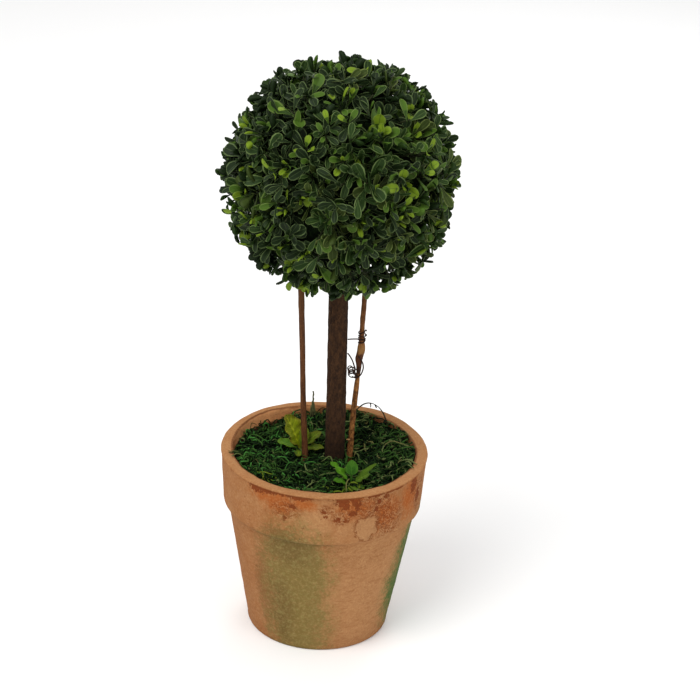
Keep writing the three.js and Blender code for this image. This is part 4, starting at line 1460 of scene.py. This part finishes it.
def bud_paths():
    """The dry stalk with its swollen bud, and a sheath at either side of it."""
    foot_x, foot_z, step, places = -10.4, 131, 1.22, 26
    stalk = []
    for i in range(places):
        rise = i * step
        girth = 0.6 + 1.2 * hump(rise / 30.5, 0.52, 0.15) + 0.22 * math.sin(2.3 * i)
        stalk.append((foot_x + 0.25 * math.sin(1.7 * i), 60.3, foot_z + rise, girth * MM))
    paths = [stalk]
    for side in (-1, 1):
        low = (foot_x + 1.4 * side, 60, 141 + 2 * side, 0.5 * MM)
        middle = (foot_x + 2.1 * side, 59.6, 145, 0.8 * MM)
        paths.append([low, middle, (foot_x + 0.9 * side, 60, 150, 0.3 * MM)])
    return paths


class TOPIARY_OT_litter(bpy.types.Operator):
    """Models the fallen tendril that arches over the moss and the dry stalk at the back"""
    bl_idname = "topiary.litter"
    bl_label = "Litter"

    def execute(self, context):
        dark = twig_bark("dry_twig", (0.035, 0.035, 0.02), (0.01, 0.01, 0.007))
        hand_in(curve_piece("fallen_arch", fallen_paths(), dark), "dry_twig", "fallen_tendril")
        pale, brown = (0.11, 0.11, 0.04), (0.03, 0.035, 0.015)
        olive = twig_bark("stalk_bark", pale, brown, 0.75, 900, (1, 1, 0.4), 0.3 * MM)
        hand_in(curve_piece("bud_stalk", bud_paths(), olive), "dry_twig", "dry_stalk")
        return {"FINISHED"}


# Boxwood ball

BALL_CENTRE = Vector((2, 0, 358)) * MM
# A leaf's rows from root to tip, as shares of its length and of its width, and where its outer half begins
LEAF_ROWS = ((0.16, 0.15), (0.34, 0.36), (0.52, 0.76), (0.7, 1.0), (0.86, 0.9), (0.96, 0.52))
LEAF_TIP_ROW = 2
# The places across a leaf in half widths, and how far each is raised
LEAF_COLUMNS = (-1, -0.76, -0.05, 0.05, 0.76, 1)
LEAF_RISE = (0.34, 0.28, 0.03, 0.03, 0.28, 0.34)
# Each tint's blade, its rim, painted pale as the highlight on the leaf's raised edge, and its outer half
LEAF_TINTS = {
    "leaves_deep": ((0.009, 0.019, 0.005), (0.08, 0.118, 0.042), (0.009, 0.019, 0.005)),
    "leaves_dark": ((0.0155, 0.037, 0.0065), (0.105, 0.155, 0.048), (0.016, 0.036, 0.0065)),
    "leaves_olive": ((0.028, 0.044, 0.0085), (0.125, 0.16, 0.044), (0.035, 0.055, 0.01)),
    "leaves_fresh": ((0.021, 0.047, 0.006), (0.105, 0.165, 0.034), (0.051, 0.105, 0.011)),
    "leaves_lime": ((0.034, 0.072, 0.008), (0.14, 0.21, 0.026), (0.148, 0.23, 0.014)),
}
# Shoots that hang before the trunk and beside the stems: a place, a direction and a number of pairs
HANGING_SHOOTS = [
    ((4.6, -17, 292), (-0.12, 0.02, -1), 1), ((7.5, -20, 291), (0.35, -0.2, -1), 1),
    ((27.5, -13, 292), (0.25, 0.05, -1), 1), ((-22, -16, 294), (-0.1, 0.1, -1), 2),
    ((47, -14, 300), (0.35, 0.1, -1), 2), ((39, -17, 295), (0.15, 0.05, -1), 2),
    ((-5, -16, 290), (-0.5, 0.2, -1), 1), ((58, -10, 308), (0.5, 0, -0.8), 2),
]
# Single leaves that hang flat before the trunk: a root, a direction, a facing, a length and a width
HANGING_LEAVES = [
    ((7.6, -17, 286.5), (-0.4, 0.1, -1), (0.1, -1, -0.15), 15.8, 8.6),
    ((-1, -18, 289), (-0.35, 0.1, -1), (-0.2, -1, 0.1), 13, 7),
]
# A shoot's pairs of leaves, from its tip down: their sizes, and the chance of a lime leaf on a bright shoot
PAIR_SIZES = (0.74, 0.94, 1.06, 1.08, 1.02, 0.9)
LIME_CHANCES = (0.7, 0.3, 0.08, 0, 0, 0)
FULL_SHOOT = len(PAIR_SIZES)
SHORT_SHOOT = 3
LAST_PAIR = FULL_SHOOT - 1
HANGING_BEND = -0.2
PAIR_GAP = 1.6 * MM
FIRST_GAP = 0.3 * MM
PROUD_SHARE = 0.2
OPEN_SHARE = 0.45
# A shoot that ends this near to bark is left out, and so is a leaf that comes nearer than its clearance
CLEAR_OF_BARK = 2.2 * MM
LEAF_CLEARANCE = 0.3 * MM
# The ball's bright side, and where it is fuller, in millimetres from its centre
LIME_SIDE = Vector((0.3, -0.5, -0.1))
FULL_FROM_X = 15
FULL_FROM_Z = 22
# There a leaf is shortened if it reaches too far by less than this share of its length
MOST_TRIMMED = 0.35


def leaf_faces():
    """The faces of one leaf, a ribbed top of five strips over an underside of two, and the finish of each.

    The finishes are 0 for the blade, 1 for the rim, painted pale as a highlight on the raised edge, 2 for the
    blade's outer half and 3 for the midrib, mixed partly from that highlight."""
    rows, columns = len(LEAF_ROWS), len(LEAF_COLUMNS)
    root, tip = 0, 1 + rows * (columns + 1)
    last = columns - 1
    quads, quad_picks, threes, three_picks = [], [], [], []

    def top(row, column):
        return 1 + row * (columns + 1) + column

    def under(row):
        return 1 + row * (columns + 1) + columns

    for strip in range(last):
        rim, midrib = strip in (0, last - 1), strip == 2
        threes.append((root, top(0, strip + 1), top(0, strip)))
        threes.append((top(rows - 1, strip), top(rows - 1, strip + 1), tip))
        three_picks += [1 if rim else 0, 1]
        for row in range(rows - 1):
            quads.append((top(row, strip), top(row, strip + 1), top(row + 1, strip + 1), top(row + 1, strip)))
            quad_picks.append(1 if rim else 3 if midrib else 2 if row >= LEAF_TIP_ROW else 0)
    threes += [(root, top(0, 0), under(0)), (root, under(0), top(0, last)),
               (top(rows - 1, 0), tip, under(rows - 1)), (under(rows - 1), tip, top(rows - 1, last))]
    three_picks += [0, 0, 2, 2]
    for row in range(rows - 1):
        quads.append((top(row, 0), top(row + 1, 0), under(row + 1), under(row)))
        quads.append((under(row), under(row + 1), top(row + 1, last), top(row, last)))
        quad_picks += [2 if row >= LEAF_TIP_ROW else 0] * 2
    return np.array(quads), np.array(threes), np.array(quad_picks + three_picks)


def leaf_corners(lengths, widths, bends, thickness):
    """Corners of many leaves at once, each along +Y and facing +Z, with its own length, width and bend."""
    places = [(0.0, 0.0, 0.0)]
    for row, wide in LEAF_ROWS:
        places += [(row, column * wide / 2, rise * wide) for column, rise in zip(LEAF_COLUMNS, LEAF_RISE)]
        places.append((row, 0.0, -1.0))
    places.append((1.0, 0.0, 0.12))
    shares, sides, rises = np.array(places).T
    hollow = np.where(rises < 0, -thickness, rises * 0.5 * widths[:, None])
    turn = bends[:, None] * shares[None]
    safe = np.where(np.abs(bends) < 1e-3, 1e-3, bends)[:, None]
    along = np.sin(safe * shares) / safe * lengths[:, None] - hollow * np.sin(turn)
    up = (1 - np.cos(safe * shares)) / safe * lengths[:, None] + hollow * np.cos(turn)
    return np.stack([sides[None] * widths[:, None], along, up], -1)


def stem_direction(index, count, random):
    """Directions spread evenly over a ball, each a little off its place, by the source's rule."""
    height = 1 - (2 * index + 1) / count
    turn = index * GOLDEN_TURN
    flat = math.sqrt(1 - height * height)
    even = Vector((flat * math.cos(turn), flat * math.sin(turn), height))
    return leaning(even, between(random, 0, 0.09), between(random, 0, 2 * math.pi))


class Limbs:
    """The trunk and the two stems, for how far a place is from their bark."""

    def __init__(self, sizes):
        limbs = ((TRUNK_PATH, sizes.trunk_radius), (LEFT_PATH, sizes.left_radius),
                 (RIGHT_PATH, sizes.right_radius))
        self.lines = [(np.array(path) * MM, radius) for path, radius in limbs]

    def away(self, place):
        """How far a place is from the nearest bark. It counts as a metre where no bark can be near."""
        nearest = 1.0
        if abs(place.y) > 20 * MM or place.z > 330 * MM:
            return nearest
        for path, radius in self.lines:
            height = min(max(place.z, path[0, 2]), path[-1, 2])
            x, y = smooth_between(path, np.array([height]))[0]
            nearest = min(nearest, (place - Vector((x, y, height))).length - radius)
        return nearest


def grow_shoot(end, axis, pairs, sizes, limbs, random):
    """A shoot's leaves: pairs that cross each other and open wider down the shoot."""
    leaves = []
    turn = between(random, 0, math.pi)
    spread = between(random, 0.75, 1.2)
    slim = between(random, 0.66, 1.08)
    long = between(random, 0.86, 1.14)
    off = (end - BALL_CENTRE) / MM
    full_side = off.x > FULL_FROM_X and abs(off.z) > FULL_FROM_Z
    for pair in range(pairs):
        root = end - axis * (FIRST_GAP + PAIR_GAP * pair)
        away = (0.36 + 0.25 * pair) * spread
        size = PAIR_SIZES[pair] * long
        for side in (0, math.pi):
            round_axis = turn + side + pair * math.pi / 2 + between(random, -0.4, 0.4)
            along = leaning(axis, away + between(random, -0.18, 0.18), round_axis)
            length = sizes.leaf_length * size * between(random, 0.84, 1.14)
            width = sizes.leaf_width * size * slim * between(random, 0.84, 1.14)
            bend = between(random, -0.9, 0.5)
            roll = between(random, -0.7, 0.7)
            over = (root + along * length - BALL_CENTRE).length - sizes.reach
            if full_side and 0 < over < MOST_TRIMMED * length:
                length -= 1.15 * over
            tip = root + along * length
            middle = root + along * (length * 0.6)
            near = min(limbs.away(middle), limbs.away(tip)) < LEAF_CLEARANCE + width * 0.4
            if near or (tip - BALL_CENTRE).length > sizes.reach:
                continue
            facing = Matrix.Rotation(roll, 3, along) @ axis
            leaves.append((root, along, facing, length, width, bend, pair))
    return leaves


def core_foot(direction, sizes):
    """Where a twig starts, a little inside the ball's core."""
    return BALL_CENTRE + direction.normalized() * (sizes.core_radius - 3 * MM)


def grow_ball(sizes, limbs):
    """Stems as in the solids, each forked into finer twigs with a shoot of leaves. Some stand proud."""
    random = seeded(sizes.seed)
    stems = [stem_direction(index, sizes.stems, random) for index in range(sizes.stems)]
    fine = sizes.stems * sizes.twigs
    twigs, shoots = [], []
    for index in range(fine):
        outward = stem_direction(index, fine, random)
        stem = max(stems, key=outward.dot)
        proud = random() < PROUD_SHARE
        axis = leaning(outward, between(random, 0, 0.95), between(random, 0, 2 * math.pi))
        swell = 4.5 * noise.noise(outward * 3.1) + 4 * noise.noise(outward * 7.3) + 0.8
        swell += 6 * max(0.0, outward.x) * abs(outward.z)
        depth = between(random, 77, 81) if proud else between(random, 66, 78.5)
        end = BALL_CENTRE + outward * (depth + swell) * MM
        if limbs.away(end) < CLEAR_OF_BARK:
            continue
        foot = core_foot(stem * 0.35 + outward * 0.65, sizes)
        twigs.append((foot, (foot + end) / 2 + axis * (1.5 * MM), end))
        open_side = outward.z < -0.25 and random() < OPEN_SHARE
        pairs = SHORT_SHOOT if proud or open_side else FULL_SHOOT
        shoots.append(grow_shoot(end, axis, pairs, sizes, limbs, random))
    for place, direction, pairs in HANGING_SHOOTS:
        end, axis = Vector(place) * MM, Vector(direction).normalized()
        foot = core_foot(end - BALL_CENTRE, sizes)
        twigs.append((foot, (foot + end) / 2 - axis * (1 * MM), end))
        shoots.append(grow_shoot(end, axis, pairs, sizes, limbs, random))
    for root, along, facing, length, width in HANGING_LEAVES:
        start, along = Vector(root) * MM, Vector(along).normalized()
        shoots.append([(start, along, Vector(facing), length * MM, width * MM, HANGING_BEND, LAST_PAIR)])
    return twigs, shoots


def deal_tints(shoots, sizes):
    """Deals the leaves out by shoot: lime and fresh ones at some tips, darker ones elsewhere."""
    random = seeded(sizes.seed + 2)
    dealt = {name: [] for name in LEAF_TINTS}
    for shoot in shoots:
        if not shoot:
            continue
        off = (shoot[0][0] - BALL_CENTRE).normalized()
        bright = random() < sizes.lime_share * (1 + 0.9 * off.dot(LIME_SIDE))
        kind = random() + 0.25 * off.x - 0.15 * abs(off.z)
        own = "leaves_deep" if kind < 0.42 else "leaves_dark" if kind < 0.8 else "leaves_olive"
        for leaf in shoot:
            pair = leaf[-1]
            luck = random()
            if bright and luck < LIME_CHANCES[pair]:
                tint = "leaves_lime"
            elif luck < (0.5 if bright else 0.1) and pair < 4:
                tint = "leaves_fresh"
            else:
                tint = own
            dealt[tint].append(leaf)
    return dealt


def leaf_piece(name, leaves, materials, thickness):
    """All the leaves of one tint as one mesh."""
    roots, along, axes, lengths, widths, bends, _ = (np.array(values) for values in zip(*leaves))
    sideways = np.cross(along, axes)
    sideways /= np.linalg.norm(sideways, axis=1, keepdims=True) + 1e-9
    facing = np.cross(sideways, along)
    basis = np.stack([sideways, along, facing], 1)
    local = leaf_corners(lengths, widths, bends, thickness)
    corners = np.einsum("nvk,nkj->nvj", local, basis) + roots[:, None]
    quads, threes, finishes = leaf_faces()
    triangles = len(leaves) * (2 * len(quads) + len(threes))
    if triangles > MOST_TRIANGLES:
        raise RuntimeError(f"{name} has {triangles} triangles")
    base = (np.arange(len(leaves)) * local.shape[1])[:, None, None]
    faces = [(quads[None] + base).reshape(-1, 4), (threes[None] + base).reshape(-1, 3)]
    picks = [np.tile(finishes[:len(quads)], len(leaves)), np.tile(finishes[len(quads):], len(leaves))]
    return mesh_piece(name, corners.reshape(-1, 3), faces, materials, np.concatenate(picks))


class TOPIARY_OT_ball(bpy.types.Operator):
    """Grows the boxwood ball: a dark core, fine twigs, and leaves in five tints"""
    bl_idname = "topiary.ball"
    bl_label = "Boxwood ball"

    def execute(self, context):
        sizes = context.scene.topiary_ball
        limbs = Limbs(context.scene.topiary_limbs)
        hand_in(self.core(sizes), "boxwood_leaf", "boxwood_ball")
        twigs, shoots = grow_ball(sizes, limbs)
        hand_in(self.twigs(twigs), "boxwood_leaf")
        for name, leaves in deal_tints(shoots, sizes).items():
            blade_tint, rim, tip = LEAF_TINTS[name]
            # The rim tint is a painted highlight on the raised leaf edge, and the midrib is mixed partly from
            # it.
            midrib = tuple(0.6 * dark + 0.4 * pale for dark, pale in zip(blade_tint, rim))
            finishes = (("blade", blade_tint), ("rim", rim), ("tip", tip), ("midrib", midrib))
            materials = [plain_material(f"{name}_{part}", tint, 0.5, 0.1) for part, tint in finishes]
            hand_in(leaf_piece(name, leaves, materials, sizes.leaf_thickness), "boxwood_leaf")
        return {"FINISHED"}

    def core(self, sizes):
        """The dark core, near black as painted shade of the ball's inside, roughened so that no smooth ball
        shows between the leaves.
        """
        deselect()
        bpy.ops.mesh.primitive_ico_sphere_add(subdivisions=5, radius=sizes.core_radius, location=BALL_CENTRE)
        piece = bpy.context.object
        piece.name = "ball_shade_core"
        bpy.ops.object.transform_apply(location=True, rotation=True, scale=True)
        for corner in piece.data.vertices:
            off = corner.co - BALL_CENTRE
            rough = 1 + 0.03 * noise.noise(off * 160) + 0.02 * noise.noise(off * 420)
            corner.co = BALL_CENTRE + off * rough
        # Near black: painted shade inside the ball.
        tints = (0.002, 0.004, 0.0015), (0.008, 0.018, 0.004)
        piece.data.materials.append(lumpy_material("ball_shade_core", 0.9, 0.05, (300, 0.35, 0.7), tints, 1 * MM))
        return piece

    def twigs(self, twigs):
        """The fine twigs as thin tapered tubes."""
        paths = np.array([[tuple(place) for place in twig] for twig in twigs])
        radii = np.tile([0.9 * MM, 0.75 * MM, 0.45 * MM], (len(paths), 1))
        corners, faces = tubes(paths, radii, 4)
        wood = plain_material("twig_green", (0.02, 0.024, 0.009), 0.6, 0.1)
        return mesh_piece("ball_twigs", corners, faces, [wood])


# Stage

def lamp(name, place, aim, size, power, colour=(1, 1, 1)):
    """A round soft light at a place, turned towards an aim."""
    light = bpy.data.lights.new(name, "AREA")
    light.shape = "DISK"
    light.size = size
    light.energy = power
    light.color = colour
    holder = bpy.data.objects.new(name, light)
    bpy.context.collection.objects.link(holder)
    direction = Vector(aim) - Vector(place)
    holder.matrix_world = Matrix.Translation(place) @ direction.to_track_quat("-Z", "Y").to_matrix().to_4x4()


# The viewpoint, fitted to the photograph: a place in metres, turns in degrees, and a lens in sensor widths
CAMERA_PLACE = (0, -1.33477, 0.82836)
CAMERA_PITCH = 24.318
CAMERA_YAW = 0.662
CAMERA_ROLL = 2.878
SENSOR_WIDTH = 36
LENS_SHARE = 2.86013


def photo_camera():
    """The photograph's viewpoint: it looks down at the pot from 1.5 m, and is rolled a little."""
    pitch, yaw, roll = (math.radians(turn) for turn in (CAMERA_PITCH, CAMERA_YAW, CAMERA_ROLL))
    ahead = Vector((math.sin(yaw) * math.cos(pitch), math.cos(yaw) * math.cos(pitch), -math.sin(pitch)))
    level = Vector((math.cos(yaw), -math.sin(yaw), 0))
    upward = level.cross(ahead)
    right = level * math.cos(roll) + upward * math.sin(roll)
    top = upward * math.cos(roll) - level * math.sin(roll)
    camera = bpy.data.cameras.new("camera")
    camera.sensor_width = SENSOR_WIDTH
    camera.lens = SENSOR_WIDTH * LENS_SHARE
    holder = bpy.data.objects.new("camera", camera)
    bpy.context.collection.objects.link(holder)
    basis = Matrix((right, top, -ahead)).transposed().to_4x4()
    holder.matrix_world = Matrix.Translation(CAMERA_PLACE) @ basis
    bpy.context.scene.camera = holder


class TOPIARY_OT_stage(bpy.types.Operator):
    """Sets up the pale floor, the soft light and the camera"""
    bl_idname = "topiary.stage"
    bl_label = "Stage"

    def execute(self, context):
        stage = context.scene.topiary_stage
        deselect()
        bpy.ops.mesh.primitive_plane_add(size=8, location=(0, 0, 0))
        floor = context.object
        floor.name = "floor"
        floor.data.materials.append(plain_material("floor", tuple(stage.floor), 0.9, 0.1))
        world = bpy.data.worlds.new("studio")
        context.scene.world = world
        world.use_nodes = True
        sky = world.node_tree.nodes["Background"]
        sky.inputs["Color"].default_value = (1, 1, 1, 1)
        sky.inputs["Strength"].default_value = stage.sky
        lamp("key", (-0.9, -1.0, 2.0), (0, 0, 0.25), 1.4, stage.key, (1, 0.98, 0.95))
        lamp("fill", (1.5, -1.2, 1.0), (0, 0, 0.25), 1.2, stage.key * 0.25)
        lamp("back", (0.5, 1.6, 1.5), (0, 0, 0.3), 1.2, stage.key * 0.3)
        photo_camera()
        context.scene.view_settings.view_transform = "Standard"
        return {"FINISHED"}


# Panel and registration

STEPS = ("pot", "fill", "trunk", "stems", "tendrils", "moss", "plants", "litter", "ball", "stage")


class TOPIARY_PT_panel(bpy.types.Panel):
    """Lists the pieces of the topiary"""
    bl_idname = "TOPIARY_PT_panel"
    bl_label = "Ball topiary"
    bl_space_type = "VIEW_3D"
    bl_region_type = "UI"
    bl_category = "Topiary"

    def draw(self, context):
        for step in STEPS:
            self.layout.operator("topiary." + step)


SETTINGS = {
    "topiary_pot": PotSettings,
    "topiary_limbs": LimbSettings,
    "topiary_moss": MossSettings,
    "topiary_ball": BallSettings,
    "topiary_stage": StageSettings,
}
PARTS = (
    TOPIARY_OT_pot, TOPIARY_OT_fill, TOPIARY_OT_trunk, TOPIARY_OT_stems, TOPIARY_OT_tendrils, TOPIARY_OT_moss,
    TOPIARY_OT_plants, TOPIARY_OT_litter, TOPIARY_OT_ball, TOPIARY_OT_stage, TOPIARY_PT_panel,
)


def register():
    for name, group in SETTINGS.items():
        bpy.utils.register_class(group)
        setattr(bpy.types.Scene, name, bpy.props.PointerProperty(type=group))
    for part in PARTS:
        bpy.utils.register_class(part)


def unregister():
    for part in reversed(PARTS):
        bpy.utils.unregister_class(part)
    for name, group in SETTINGS.items():
        delattr(bpy.types.Scene, name)
        bpy.utils.unregister_class(group)


def main():
    register()
    for step in STEPS:
        getattr(bpy.ops.topiary, step)()


if __name__ == "__main__":
    main()
